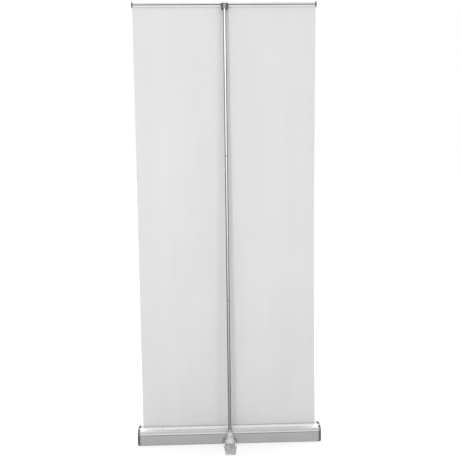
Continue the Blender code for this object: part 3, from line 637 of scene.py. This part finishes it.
# ---- cassette ----
def shell_half(inset, groove):
    """Back half of the cassette's section from its lip down to the middle of the floor."""
    depth = -BACK - inset
    corner = FLOOR_CORNER - inset
    radii = (-BACK - SLOT_HALF - inset, BASE_TOP - SHOULDER_HEIGHT - inset)
    shoulder = ellipse((-SLOT_HALF, SHOULDER_HEIGHT), radii, pi / 2, pi, 28)
    step = []
    if groove:
        foot = SHOULDER_HEIGHT - GROOVE_HEIGHT
        deep = BACK + GROOVE_DEPTH
        step = [
            (BACK, SHOULDER_HEIGHT - 0.0002, 0.0002),
            (deep, SHOULDER_HEIGHT - 0.0006, 0.0003),
            (deep, foot + 0.0002, 0.0003),
            (BACK, foot - 0.0003, 0.0011),
        ]
        shoulder = shoulder[:-1]
    floor = ellipse((-depth + corner, inset + corner), (corner, corner), pi, 1.5 * pi, 8)
    return shoulder + step + floor


def make_shell():
    """The extruded shell, open along the slot in its top."""
    outer = shell_half(0, True)
    inner = shell_half(SHELL_WALL, False)
    outer[0] = (*outer[0], LIP_ROUND)
    inner[0] = (*inner[0], LIP_ROUND)
    back = outer + mirrored(outer)
    ring = back + [(-y, *rest) for y, *rest in inner] + list(reversed(inner))
    shell = moved(prism(rounded(ring), 2 * SHELL_HIGH.x, cuts=12), SECTION_TURN)
    shell = carve(shell, *bolt_bores(-0.01, 0.01))
    piece("cassette_extrusion", shell, "extrusion", "base", ["cassette_shell"])


def bolt_bores(start, end):
    """Bores for the boot's two screws, from inside the cassette's back wall outwards."""
    places = [Matrix.Translation((side * BOLT_SPREAD, BACK, BOLT_LEVEL)) for side in (-1, 1)]
    return [moved(rod(BOLT_BORE, start, end, steps=20), place @ FACING_BACK) for place in places]


def shoulder_spot(lean, side):
    """A point on the shoulder, lean radians up from its foot, and how far its normal tilts."""
    across, up = -BACK - SLOT_HALF, BASE_TOP - SHOULDER_HEIGHT
    y = SLOT_HALF + across * cos(lean)
    z = SHOULDER_HEIGHT + up * sin(lean)
    return side * y, z, -side * atan2(cos(lean) / across, sin(lean) / up)


def cap_screw_places():
    """Each screw's y, z and tilt."""
    y, z, tilt = shoulder_spot(CAP_SCREW_LEAN, -1)
    return {"top": (0.0, BASE_TOP, 0.0), "back": (y, z, tilt), "front": (-y, z, -tilt)}


def screw_head(radius, height, shank, length):
    """A domed head over z = 0 with a cross recess, and its shank below."""
    dome = ellipse((0, 0), (radius, height), pi / 2, 0, 8)
    dome[0] = (0, height)
    neck = [(radius, -0.0001), (shank, -0.0001)]
    point = [(shank, 0.0004 - length), (shank * 0.6, -length), (0, -length)]
    body = turned(dome[:-1] + [(radius, 0)] + neck + point, 28)
    arm, deep = radius * 0.62, height * 0.55
    slots = []
    for angle in (0, pi / 2):
        slot = block((-arm, -radius * 0.11, height - deep), (arm, radius * 0.11, height * 2))
        slots.append(moved(slot, Matrix.Rotation(angle + pi / 5, 4, "Z")))
    return carve(body, *slots)


def screw_well():
    """The seat and hole of a cap's screw, under and over z = 0."""
    head, shank = SCREW_HEAD + SEAT_GAP, SCREW_SHANK + SEAT_GAP
    seat = [(0, 0.01), (head, 0.01), (head, -SCREW_SUNK), (shank, -SCREW_SUNK)]
    return turned(seat + [(shank, -SCREW_WELL), (0, -SCREW_WELL)], 28)


def section_turn(side):
    """Stand an outline up with its thickness going out to one side."""
    return SECTION_TURN if side > 0 else SECTION_TURN @ Matrix.Diagonal((1, 1, -1, 1))


def make_cap(word, side):
    """An end cap with a rim that rounds over to the end face, a spigot in the shell and three screws."""
    half = shell_half(0, False)
    bm = outline_face(half + mirrored(half))
    straight = CAP_THICKNESS - CAP_ROUND_LENGTH
    end = pull(bm, list(bm.faces), (0, 0, straight * 0.5))
    end = pull(bm, end, (0, 0, straight * 0.5))
    round_over(bm, end, CAP_ROUND_LENGTH, CAP_ROUND_DROP / -BACK, SHOULDER_HEIGHT, 9)
    tidy(bm)
    moved(bm, Matrix.Translation((side * (SHELL_HIGH.x + 0.0001), 0, 0)) @ section_turn(side))
    tidy(bm)
    inner = shell_half(SHELL_WALL + SEAT_GAP, False)
    spigot = prism(inner + mirrored(inner), CAP_SPIGOT + 0.001)
    round_edges(spigot, 0.0005, 2)
    spigot_x = side * (SHELL_HIGH.x + 0.0006 - CAP_SPIGOT / 2)
    moved(spigot, Matrix.Translation((spigot_x, 0, 0)) @ SECTION_TURN)
    bm = carve(bm, spigot, operation="UNION")
    pin_low, pin_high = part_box("spring_shaft")
    bore = rod((pin_high.z - pin_low.z) / 2 + SEAT_GAP, -0.03, 0, steps=36)
    middle = (pin_low + pin_high) / 2
    axle = Vector((side * (pin_high.x + SEAT_GAP), middle.y, middle.z))
    wells = [moved(bore, Matrix.Translation(axle) @ Matrix.Rotation(side * pi / 2, 4, "Y"))]
    x = side * (SHELL_HIGH.x + SCREW_HEAD + SCREW_EDGE)
    for where, (y, z, tilt) in cap_screw_places().items():
        place = Matrix.Translation((x, y, z)) @ Matrix.Rotation(-tilt, 4, "X")
        wells.append(moved(screw_well(), place))
        screw = screw_head(SCREW_HEAD, SCREW_HEAD_HEIGHT, SCREW_SHANK, 0.008)
        moved(screw, place @ Matrix.Translation((0, 0, SEAT_GAP - SCREW_SUNK)))
        name = f"cap_screw_{word}_{where}"
        piece(name + "_head", screw, "black oxide", "base", [name])
    piece(f"cap_{word}_moulding", carve(bm, *wells), "cap", "base", [f"end_cap_{word}"])


# ---- rail and banner ----
def rail_outline():
    """The rail's section: a round crown, the hook's groove behind and the banner's slot below."""
    half = RAIL_DEPTH_HALF
    height = RAIL_HIGH.z - RAIL_LOW.z
    crown = ellipse((0, height - half), (half, half), 0, pi, 20)
    low, high, deep = HOOK_LEVEL - HOOK_HALF, HOOK_LEVEL + HOOK_HALF, HOOK_DEPTH - half
    edge = 0.0005
    groove = [(-half, high, edge), (deep, high, 0.0004), (deep, low, 0.0004), (-half, low, edge)]
    lip, depth = RAIL_SLOT_HALF, RAIL_SLOT_DEPTH
    slot = [(-lip, 0, 0.0003), (-lip, depth, 0.0003), (lip, depth, 0.0003), (lip, 0, 0.0003)]
    return rounded([(half, 0, 0.0008)] + crown + groove + [(-half, 0, 0.0008)] + slot)


def make_rail():
    """The rail with its wedge strip and caps."""
    rail = prism(rail_outline(), 2 * RAIL_HALF, cuts=12)
    moved(rail, Matrix.Translation((0, 0, RAIL_LOW.z)) @ SECTION_TURN)
    piece("rail_extrusion", rail, "rail extrusion", "rail", ["top_rail"])
    low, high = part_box("rail_wedge")
    wedge = block(low, high)
    round_edges(wedge, 0.0002, 2)
    piece("rail_wedge_strip", wedge, "dark plastic", "rail", ["rail_wedge"])
    for word, side in (("left", -1), ("right", 1)):
        make_rail_cap(word, side)


def rail_cap_outline(grow):
    half = RAIL_DEPTH_HALF + grow
    height = RAIL_HIGH.z - RAIL_LOW.z
    crown = ellipse((0, height - RAIL_DEPTH_HALF), (half, half), 0, pi, 16)
    return rounded([(half, 0, 0.0008)] + crown + [(-half, 0, 0.0008)])


def make_rail_cap(word, side):
    """A cap over the rail's end, with a rounded rim and an open foot for the banner's edge."""
    start = RAIL_HALF - RAIL_CAP_LAP
    length = RAIL_CAP_HIGH.x - start
    bm = outline_face(rail_cap_outline(RAIL_CAP_GROW))
    end = pull(bm, list(bm.faces), (0, 0, length - RAIL_CAP_RIM))
    round_over(bm, end, RAIL_CAP_RIM, 0.2, 0.012, 4, flatness=0.6)
    tidy(bm)
    pocket_points = [(x, y - 0.002 if y < 0.001 else y) for x, y in rail_cap_outline(SEAT_GAP * 0.8)]
    pocket = prism(pocket_points, 2 * (RAIL_CAP_LAP + 0.0006))
    place = Matrix.Translation((side * start, 0, RAIL_LOW.z)) @ section_turn(side)
    for shape in (bm, pocket):
        tidy(moved(shape, place))
    cap = carve(bm, pocket)
    piece(f"rail_cap_{word}_moulding", cap, "dark plastic", "rail", [f"rail_cap_{word}"])


def edge_draw(share):
    """How far the banner draws in, from nothing at its ends to most a little under its middle."""
    return sin(pi * min(1.0, max(0.0, share)) ** 0.9) ** 1.5


def height_share(z):
    """Height over the cassette, as a share of the way to the rail."""
    return (z - BASE_TOP) / (RAIL_LOW.z - BASE_TOP)


def banner_wave(x, z):
    """How far the film stands off its plane: a soft curl at its edges and faint tension folds."""
    height = height_share(z)
    if not 0.0 < height < WAVE_END:
        return 0.0
    fade = sin(pi * height / WAVE_END) ** 2
    edge = abs(x) / BANNER_HIGH.x
    curl = exp(-((1 - edge) / 0.05) ** 1.4)
    folds = 0.5 + 0.5 * sin(26 * x + 2.2 * z + 0.6)
    return -fade * (0.0045 * curl + 0.0007 * folds)


def make_banner():
    """The film from the roller up through the slot to the rail, drawn in a little at its waist."""
    width, low, high = BANNER_HIGH.x, BANNER_LOW.z, BANNER_HIGH.z
    bm = bmesh.new()
    bmesh.ops.create_grid(bm, x_segments=72, y_segments=150, size=0.5)
    tall = high - low
    upright = Matrix(((2 * width, 0, 0, 0), (0, 0, -1, 0), (0, tall, 0, (low + high) / 2), (0, 0, 0, 1)))
    moved(bm, upright)
    for corner in bm.verts:
        x, z = corner.co.x, corner.co.z
        neck = (NECK_LEFT if x < 0 else NECK_RIGHT) * edge_draw(height_share(z)) * (abs(x) / width) ** 2
        corner.co.y = banner_wave(x, z) - BANNER_THICKNESS / 2
        corner.co.x = x - neck * (1 if x > 0 else -1)
    bmesh.ops.recalc_face_normals(bm, faces=bm.faces)
    bmesh.ops.solidify(bm, geom=bm.faces[:], thickness=BANNER_THICKNESS)
    tidy(bm, 0.00001)
    film = piece("banner_film", bm, "banner", "banner", ["banner_sheet"], even=False)
    travel = -JOINTS["banner_slide"]["range_m"][0]
    keep = (high - travel - low) / (high - low)
    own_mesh(film)


# ---- pole ----
def make_tubes():
    """The pole's three tubes and the two ferrules that join them."""
    starts = [index * (TUBE_LENGTH + COLLAR) for index in range(3)]
    for word, start in zip(("lower", "middle", "upper"), starts):
        bm = tube(POLE_RADIUS, POLE_RADIUS - POLE_WALL, start, start + TUBE_LENGTH)
        piece(f"pole_{word}_tube", moved(bm, ALONG_POLE), "tube", "pole", [f"pole_{word}"])
    spigot = POLE_RADIUS - POLE_WALL - SEAT_GAP
    for word, start in zip(("lower", "upper"), starts[1:]):
        low, high = start - COLLAR + SEAT_GAP, start - SEAT_GAP
        profile = rounded([
            (spigot, high + FERRULE_REACH, 0.0008),
            (spigot, high),
            (POLE_RADIUS, high, 0.0004),
            (POLE_RADIUS, low, 0.0004),
            (spigot, low),
            (spigot, low - FERRULE_REACH, 0.0008),
            (CORD_BORE, low - FERRULE_REACH, 0.0004),
            (CORD_BORE, high + FERRULE_REACH, 0.0004),
        ])
        bm = moved(turned(profile, 64, closed=True), ALONG_POLE)
        piece(f"ferrule_{word}_collar", bm, "dark plastic", "pole", [f"pole_ferrule_{word}"])


def make_head():
    """The moulded hook head: a tapered body, a rib over the pole, two legs beside it and a side tab."""
    half, top, foot = HEAD_HIGH.x, HEAD_HIGH.z, HEAD_LOW.z
    right = [(half * 0.735, foot, 0.004), (half, foot + 0.016, 0.008), (half, top, 0.0085)]
    body = prism(rounded(right + mirrored(right), 8), HEAD_HIGH.y - HEAD_LOW.y - BODY_STEP)
    moved(body, Matrix.Translation((0, (HEAD_HIGH.y + HEAD_LOW.y + BODY_STEP) / 2, 0)) @ FACING_BACK)
    round_edges(body, 0.0022, 4, radians(60))
    rib = rod(SOCKET_BORE + 0.0016, POLE_LENGTH - 0.0165, POLE_LENGTH + 0.0108, 0.0022, 48)
    moved(rib, ALONG_POLE)
    trim = block((-0.03, HEAD_LOW.y - 0.0001, foot - 0.01), (0.03, HEAD_HIGH.y - 0.0004, top - 0.0006))
    rib = carve(rib, trim, operation="INTERSECT")
    tab_low = (half * 0.80, HEAD_LOW.y + 0.006, foot + 0.0125)
    tab = block(tab_low, (half + 0.0024, HEAD_HIGH.y - 0.006, foot + 0.0190))
    round_edges(tab, 0.0012, 3)
    head = carve(body, rib, tab, operation="UNION")
    bore = moved(rod(SOCKET_BORE, -0.06 + POLE_LENGTH, POLE_LENGTH + SEAT_GAP, steps=56), ALONG_POLE)
    arch_low = (-SOCKET_BORE, HEAD_LOW.y - 0.01, foot - 0.01)
    arch = block(arch_low, (SOCKET_BORE, HEAD_LOW.y + 0.011, foot + 0.0052))
    gap = Vector((SEAT_GAP, SEAT_GAP, SEAT_GAP))
    slot = block(TONGUE_LOW - gap, TONGUE_HIGH + gap)
    hole = moved(rod(HOOK_BORE, TONGUE_LOW.z - 0.003, top + 0.004, steps=28), AT_RIVET)
    dimples = []
    for height in (0.0105, 0.0195):
        place = Matrix.Translation((0, HEAD_LOW.y, foot + height)) @ FACING_BACK
        dimples.append(moved(rod(DIMPLE, -DIMPLE_DEPTH, 0.006, 0.0003, 28), place))
    head = carve(head, bore, arch, slot, hole, *dimples)
    piece("hook_head_moulding", head, "hook head", "pole", ["pole_head"])


def make_hook():
    """The steel tongue in the head, and the rivet that holds it."""
    tongue = block(TONGUE_LOW, TONGUE_HIGH)
    round_edges(tongue, 0.0006, 3)
    hole = moved(rod(HOOK_BORE, TONGUE_LOW.z - 0.01, TONGUE_LOW.z + 0.01, steps=28), AT_RIVET)
    piece("hook_tongue_plate", carve(tongue, hole), "steel", "pole", ["hook_tongue"])
    radius, shank = (RIVET_HIGH.x - RIVET_LOW.x) / 2, 0.002
    seat = HEAD_HIGH.z + SEAT_GAP
    dome = ellipse((0, seat), (radius, RIVET_HIGH.z - seat), pi / 2, 0, 8)
    dome[0] = (0, RIVET_HIGH.z)
    rivet = turned(dome + [(shank, seat), (shank, RIVET_LOW.z), (0, RIVET_LOW.z)], 36)
    piece("hook_rivet_head", moved(rivet, AT_RIVET), "steel", "pole", ["hook_rivet"])


# ---- boot and foot ----
BOOT_HALF = BOOT_HIGH.x
BOOT_TOP_HALF = 0.0105
BOOT_TOP = 0.070
BOOT_STEP = 0.017           # height of the gusset's lower front edge
BOOT_FRONT_FOOT = BACK - 0.0315
BOOT_FRONT_TOP = BACK - 0.0256
BOOT_HEEL = BACK - 0.0227
RIM_WIDTH = 0.0034
RIM_HEIGHT = 0.0011
EAR_RADIUS = 0.0075
EAR_THICKNESS = 0.003
EAR_REACH = 0.036
PLATE_LOW, PLATE_TOP = 0.002, 0.005
PLATE_ROOT_HALF = 0.0305
PLATE_TIP_HALF = 0.024
PLATE_CORNER = 0.009
PLATE_ROOT = BACK - 0.0285
FOOT_EAR_HALF = 0.0267
BOOT_PIN_BORE = 0.0029
EAR_PIN_BORE = 0.0028
PAD_RIB = 0.0007
BEAD_STEPS = (              # width and rise of each step of the plate's bead, from the edge in
    (0.0006, 0.0), (0.0012, 0.0008), (0.0012, 0.0002), (0.0014, 0.0), (0.0012, -0.0003),
    (0.0012, -0.0012),
)


def make_boot():
    """The cast boot: a gusset with a raised rim, a heel under it and the socket that takes the pole."""
    seat = BACK - SEAT_GAP
    bm = bmesh.new()
    bmesh.ops.create_cube(bm, size=1.0)
    for corner in bm.verts:
        upper = corner.co.z > 0
        half = BOOT_TOP_HALF if upper else BOOT_HALF
        front = BOOT_FRONT_TOP if upper else BOOT_FRONT_FOOT
        x = half if corner.co.x > 0 else -half
        y = seat if corner.co.y > 0 else front
        corner.co = (x, y, BOOT_TOP if upper else BOOT_STEP)
    face = min(bm.faces, key=lambda f: f.calc_center_median().y)
    bmesh.ops.inset_region(bm, faces=[face], thickness=RIM_WIDTH, depth=0)
    bmesh.ops.inset_region(bm, faces=[face], thickness=0.0012, depth=-RIM_HEIGHT)
    bmesh.ops.recalc_face_normals(bm, faces=bm.faces)
    round_edges(bm, 0.0009, 3, radians(20))
    heel = block((-BOOT_HALF, BOOT_HEEL, BOOT_LOW.z), (BOOT_HALF, seat, BOOT_STEP + 0.0008))
    round_edges(heel, 0.0012, 3)
    collar = rod(SOCKET_BORE + SOCKET_WALL, 0.004, SOCKET_TOP - POLE_FOOT.z, 0.0010, 56)
    moved(collar, ALONG_POLE)
    boot = carve(bm, heel, collar, operation="UNION")
    bore = moved(rod(SOCKET_BORE, -SEAT_GAP, SOCKET_TOP, steps=56), ALONG_POLE)
    wall = block((-0.1, seat, -0.1), (0.1, 0.1, 0.2))
    pin = moved(rod(BOOT_PIN_BORE, -0.05, 0.05, steps=28), Matrix.Translation(HINGE) @ ALONG_X)
    boot = carve(boot, bore, wall, pin, *bolt_bores(-0.001, 0.014))
    piece("boot_casting", boot, "cast", "base", ["pole_boot"])


def plate_outline():
    """The foot's plate, wider at its root, with round corners at its tip."""
    r = PLATE_CORNER
    half = ellipse((PLATE_TIP_HALF - r, FOOT_TIP + r), (r, r), 0, -pi / 2, 8)
    return [(PLATE_ROOT_HALF, PLATE_ROOT)] + half + mirrored(half) + [(-PLATE_ROOT_HALF, PLATE_ROOT)]


def make_foot():
    """The folding foot: a plate with a raised bead inside its edge, and an ear at each side."""
    bm = outline_face(plate_outline(), PLATE_LOW)
    pull(bm, list(bm.faces), (0, 0, PLATE_TOP - PLATE_LOW - 0.0010))
    tidy(bm)
    top = [max(bm.faces, key=lambda f: f.calc_center_median().z)]
    for width, rise in BEAD_STEPS:
        bmesh.ops.inset_region(bm, faces=top, thickness=width, use_even_offset=True, depth=0)
        bmesh.ops.translate(bm, vec=(0, 0, rise), verts=list(top[0].verts))
    bmesh.ops.recalc_face_normals(bm, faces=bm.faces)
    ears = []
    for side in (-1, 1):
        x = side * (FOOT_EAR_HALF - EAR_THICKNESS / 2)
        crown = ellipse((HINGE.y, HINGE.z), (EAR_RADIUS, EAR_RADIUS), radians(120), radians(-70), 20)
        low = PLATE_LOW + 0.0004
        points = [(HINGE.y - EAR_REACH, low, 0.001)] + crown + [(PLATE_ROOT - 0.0005, low, 0.001)]
        ear = prism(rounded(points), EAR_THICKNESS)
        round_edges(ear, 0.0006, 3, radians(60))
        ears.append(moved(ear, Matrix.Translation((x, 0, 0)) @ SECTION_TURN))
    foot = carve(bm, *ears, operation="UNION")
    hole = moved(rod(EAR_PIN_BORE, -0.05, 0.05, steps=28), Matrix.Translation(HINGE) @ ALONG_X)
    piece("foot_casting", carve(foot, hole), "cast", "foot", ["foot_plate"])


def make_hinge():
    """The hinge pin and its two black knobs."""
    radius = (PIN_HIGH.z - PIN_LOW.z) / 2
    pin = moved(rod(radius, -PIN_HIGH.x, PIN_HIGH.x, 0.0004, 40), Matrix.Translation(HINGE) @ ALONG_X)
    piece("hinge_pin_rod", pin, "steel", "foot", ["hinge_pin"])
    outer = (KNOB_HIGH.z - KNOB_LOW.z) * 0.66
    near, far = KNOB_LOW.x, KNOB_HIGH.x + 0.0008
    bore = radius + SEAT_GAP
    seat = near + 0.0024
    for word, side in (("left", -1), ("right", 1)):
        profile = rounded([
            (outer * 0.42, far - 0.0010),
            (outer * 0.50, far, 0.0004),
            (outer * 0.86, far, 0.0012),
            (outer, far - 0.0012, 0.0008),
            (outer, near, 0.0003),
            (bore, near, 0.0002),
            (bore, seat),
        ])
        knob = turned([(0, far - 0.0010)] + profile + [(0, seat)], 40)
        moved(knob, Matrix.Translation(HINGE) @ Matrix.Rotation(side * pi / 2, 4, "Y"))
        name = f"hinge_knob_{word}"
        piece(name + "_cap", knob, "black plastic", "foot", [name])


def make_pad():
    """The ribbed rubber pad under the foot's tip."""
    bm = bmesh.new()
    bmesh.ops.create_grid(bm, x_segments=11, y_segments=1, size=0.5)
    size = PAD_HIGH - PAD_LOW
    middle = (PAD_LOW + PAD_HIGH) / 2
    place = Matrix.Translation((0, middle.y, PAD_LOW.z + PAD_RIB))
    moved(bm, place @ Matrix.Diagonal((size.x, size.y, 1, 1)))
    slab = bmesh.ops.extrude_face_region(bm, geom=bm.faces[:])["geom"]
    lifted = [part for part in slab if isinstance(part, bmesh.types.BMVert)]
    bmesh.ops.translate(bm, vec=(0, 0, size.z - PAD_RIB), verts=lifted)
    tidy(bm)
    under = [face for face in bm.faces if face.calc_center_median().z < PAD_LOW.z + PAD_RIB + 0.0001]
    under.sort(key=lambda face: face.calc_center_median().x)
    for rib in under[::2]:
        pull(bm, [rib], (0, 0, -PAD_RIB))
    tidy(bm)
    round_edges(bm, 0.00015, 2)
    piece("foot_pad_ribbed", bm, "rubber", "foot", ["foot_pad"])


# ---- parts that keep their CAD shape ----
KEPT = {
    "felt": ["slot_felt_back", "slot_felt_front"],
    "rail extrusion": ["roller_tube"],
    "leader": ["leader_film"],
    "dark plastic": ["roller_plug_left", "roller_plug_right", "spring_anchor", "pole_foot_plug"],
    "steel": ["axle_pin", "spring_shaft", "boot_screw_left", "boot_screw_right"],
    "spring steel": ["torsion_spring"],
    "cord": ["shock_cord"],
}


def finish_kept_nodes():
    """Give the nodes that keep their CAD shape their finishes."""
    for finish, names in KEPT.items():
        for name in names:
            mesh = frame["nodes"][name].data
            mesh.materials.clear()
            mesh.materials.append(FINISH[finish])


# ---- studio ----
FLOOR_SIZE = 60.0
ROOM_GLOW = (               # brightness of the room by height, from straight down to straight up
    (0.0, 0.22), (0.30, 0.28), (0.345, 0.31), (0.405, 0.35), (0.515, 0.42),
    (0.605, 0.46), (0.82, 0.50), (0.94, 0.66), (0.975, 0.9), (1.0, 2.2),
)
STRIP_GLOW = (              # brightness by height of a tall window behind the camera
    (0.0, 0.0), (0.33, 0.0), (0.405, 0.23), (0.515, 0.62), (0.60, 1.0),
    (0.78, 0.25), (0.9, 0.0),
)


def make_floor():
    """White paper that runs out of sight."""
    bm = bmesh.new()
    bmesh.ops.create_grid(bm, x_segments=1, y_segments=1, size=FLOOR_SIZE / 2)
    floor = loose_object("studio_floor", bm)
    floor.location.z = -0.0002
    material, start = new_finish("floor_paper", roughness=0.9, specular_ior_level=0.1, emission_strength=0.52)
    feed(material, base_color=start.noise(3, detail=2).mix(0.47, 0.49))
    floor.data.materials.append(material)
    floor.visible_glossy = False


def make_surroundings():
    """A white room to the camera. To the object it is darker low down and at the sides, and bright above."""
    world = bpy.data.worlds.new("studio")
    bpy.context.scene.world = world
    world.use_nodes = True
    tree = world.node_tree
    start = Wire(tree)
    x, y, z = start.node("ShaderNodeTexCoord", output=0).split()
    height = z * 0.5 + 0.5
    shade = x.size().smooth(0.60, 0.92) * z.fade(0.30, 0.75) * 0.66
    room = height.ramp(ROOM_GLOW).tint("MULTIPLY", 1 - shade)
    window = x.size().fade(0.20, 0.58) * y.fade(-0.4, -0.1) * 1.6
    roof = y.smooth(-0.12, 0.32) * height.smooth(0.76, 0.92) * 2.8
    room = room.tint("ADD", height.ramp(STRIP_GLOW).tint("MULTIPLY", window).tint("ADD", roof))
    to_camera = start.node("ShaderNodeLightPath", output=0)
    tree.links.new(to_camera.mix(room, 1.0).socket, tree.nodes["Background"].inputs["Color"])


def add_softbox(name, place, aim, size, power):
    """A rectangular light that doesn't show in the object's reflections."""
    light = bpy.data.lights.new(name, "AREA")
    light.shape = "RECTANGLE"
    light.size, light.size_y = size
    light.energy = power
    lamp = bpy.data.objects.new(name, light)
    bpy.context.scene.collection.objects.link(lamp)
    lamp.location = place
    lamp.rotation_euler = (Vector(aim) - Vector(place)).to_track_quat("-Z", "Y").to_euler()
    lamp.visible_glossy = False


def make_lights():
    add_softbox("key_right", (4.0, -4.8, 2.5), (0, 0, 1.0), (1.2, 2.6), 46)
    add_softbox("fill_left", (-1.1, -2.5, 1.7), (0, 0, 1.0), (0.6, 1.5), 19)
    add_softbox("overhead", (-0.7, -1.8, 4.4), (0, 0, 0.5), (3.0, 3.0), 16)


# ---- camera ----
LENS = 54.8
CAMERA_PLACE = (-0.10, -3.34, 1.43)
PAN = radians(1.96)
TILT = radians(6.48)
ROLL = radians(-0.68)


def make_camera():
    """A view from behind the stand, a little above its middle and turned a touch right."""
    data = bpy.data.cameras.new("camera")
    data.lens = LENS
    data.sensor_width = 36.0
    camera = bpy.data.objects.new("camera", data)
    bpy.context.scene.collection.objects.link(camera)
    forward = Vector((sin(PAN) * cos(TILT), cos(PAN) * cos(TILT), -sin(TILT)))
    right = Vector((cos(PAN), -sin(PAN), 0))
    up = right.cross(forward)
    across = cos(ROLL) * right + sin(ROLL) * up
    upward = cos(ROLL) * up - sin(ROLL) * right
    turn = Matrix((across, upward, -forward)).transposed().to_4x4()
    camera.matrix_world = Matrix.Translation(CAMERA_PLACE) @ turn
    bpy.context.scene.camera = camera


# ---- the whole stand ----
# Where each extrusion's painted groove shade and painted crest highlight sit.
SHELL_GROOVE = (SHOULDER_HEIGHT - GROOVE_HEIGHT / 2, BACK + 0.0002)
RAIL_GROOVE = (RAIL_LOW.z + HOOK_LEVEL, -RAIL_DEPTH_HALF + 0.0002)
RAIL_CREST = RAIL_HIGH.z + 0.0040
FINISH = {
    "extrusion": extruded_aluminium("cassette_anodised", (0.545, 0.545, 0.55), SHELL_GROOVE, BASE_TOP),
    "rail extrusion": extruded_aluminium("rail_anodised", (0.585, 0.585, 0.59), RAIL_GROOVE, RAIL_CREST),
    "tube": drawn_tube(),
    "cap": moulded_plastic("cap_silver_grey", 0.27, 0.34, 0.34, metallic=0.9),
    "dark plastic": moulded_plastic("hook_dark_grey", 0.085, 0.120, 0.44),
    "black plastic": moulded_plastic("knob_black", 0.005, 0.012, 0.42),
    "hook head": hook_moulding(),
    "black oxide": black_oxide(),
    "steel": plain_steel("fitting_steel", 0.42, 0.60, 0.26),
    "spring steel": plain_steel("spring_wire", 0.26, 0.44, 0.30),
    "cast": cast_silver(),
    "rubber": ribbed_rubber(),
    "felt": brushed_felt(),
    "banner": banner_back(),
    "leader": clear_leader(),
    "cord": braided_cord(),
}


make_camera()
make_floor()
make_surroundings()
make_lights()
make_shell()
make_cap("left", -1)
make_cap("right", 1)
make_banner()
make_rail()
make_tubes()
make_head()
make_hook()
make_boot()
make_foot()
make_hinge()
make_pad()
finish_kept_nodes()
bpy.context.scene.view_settings.view_transform = "Standard"
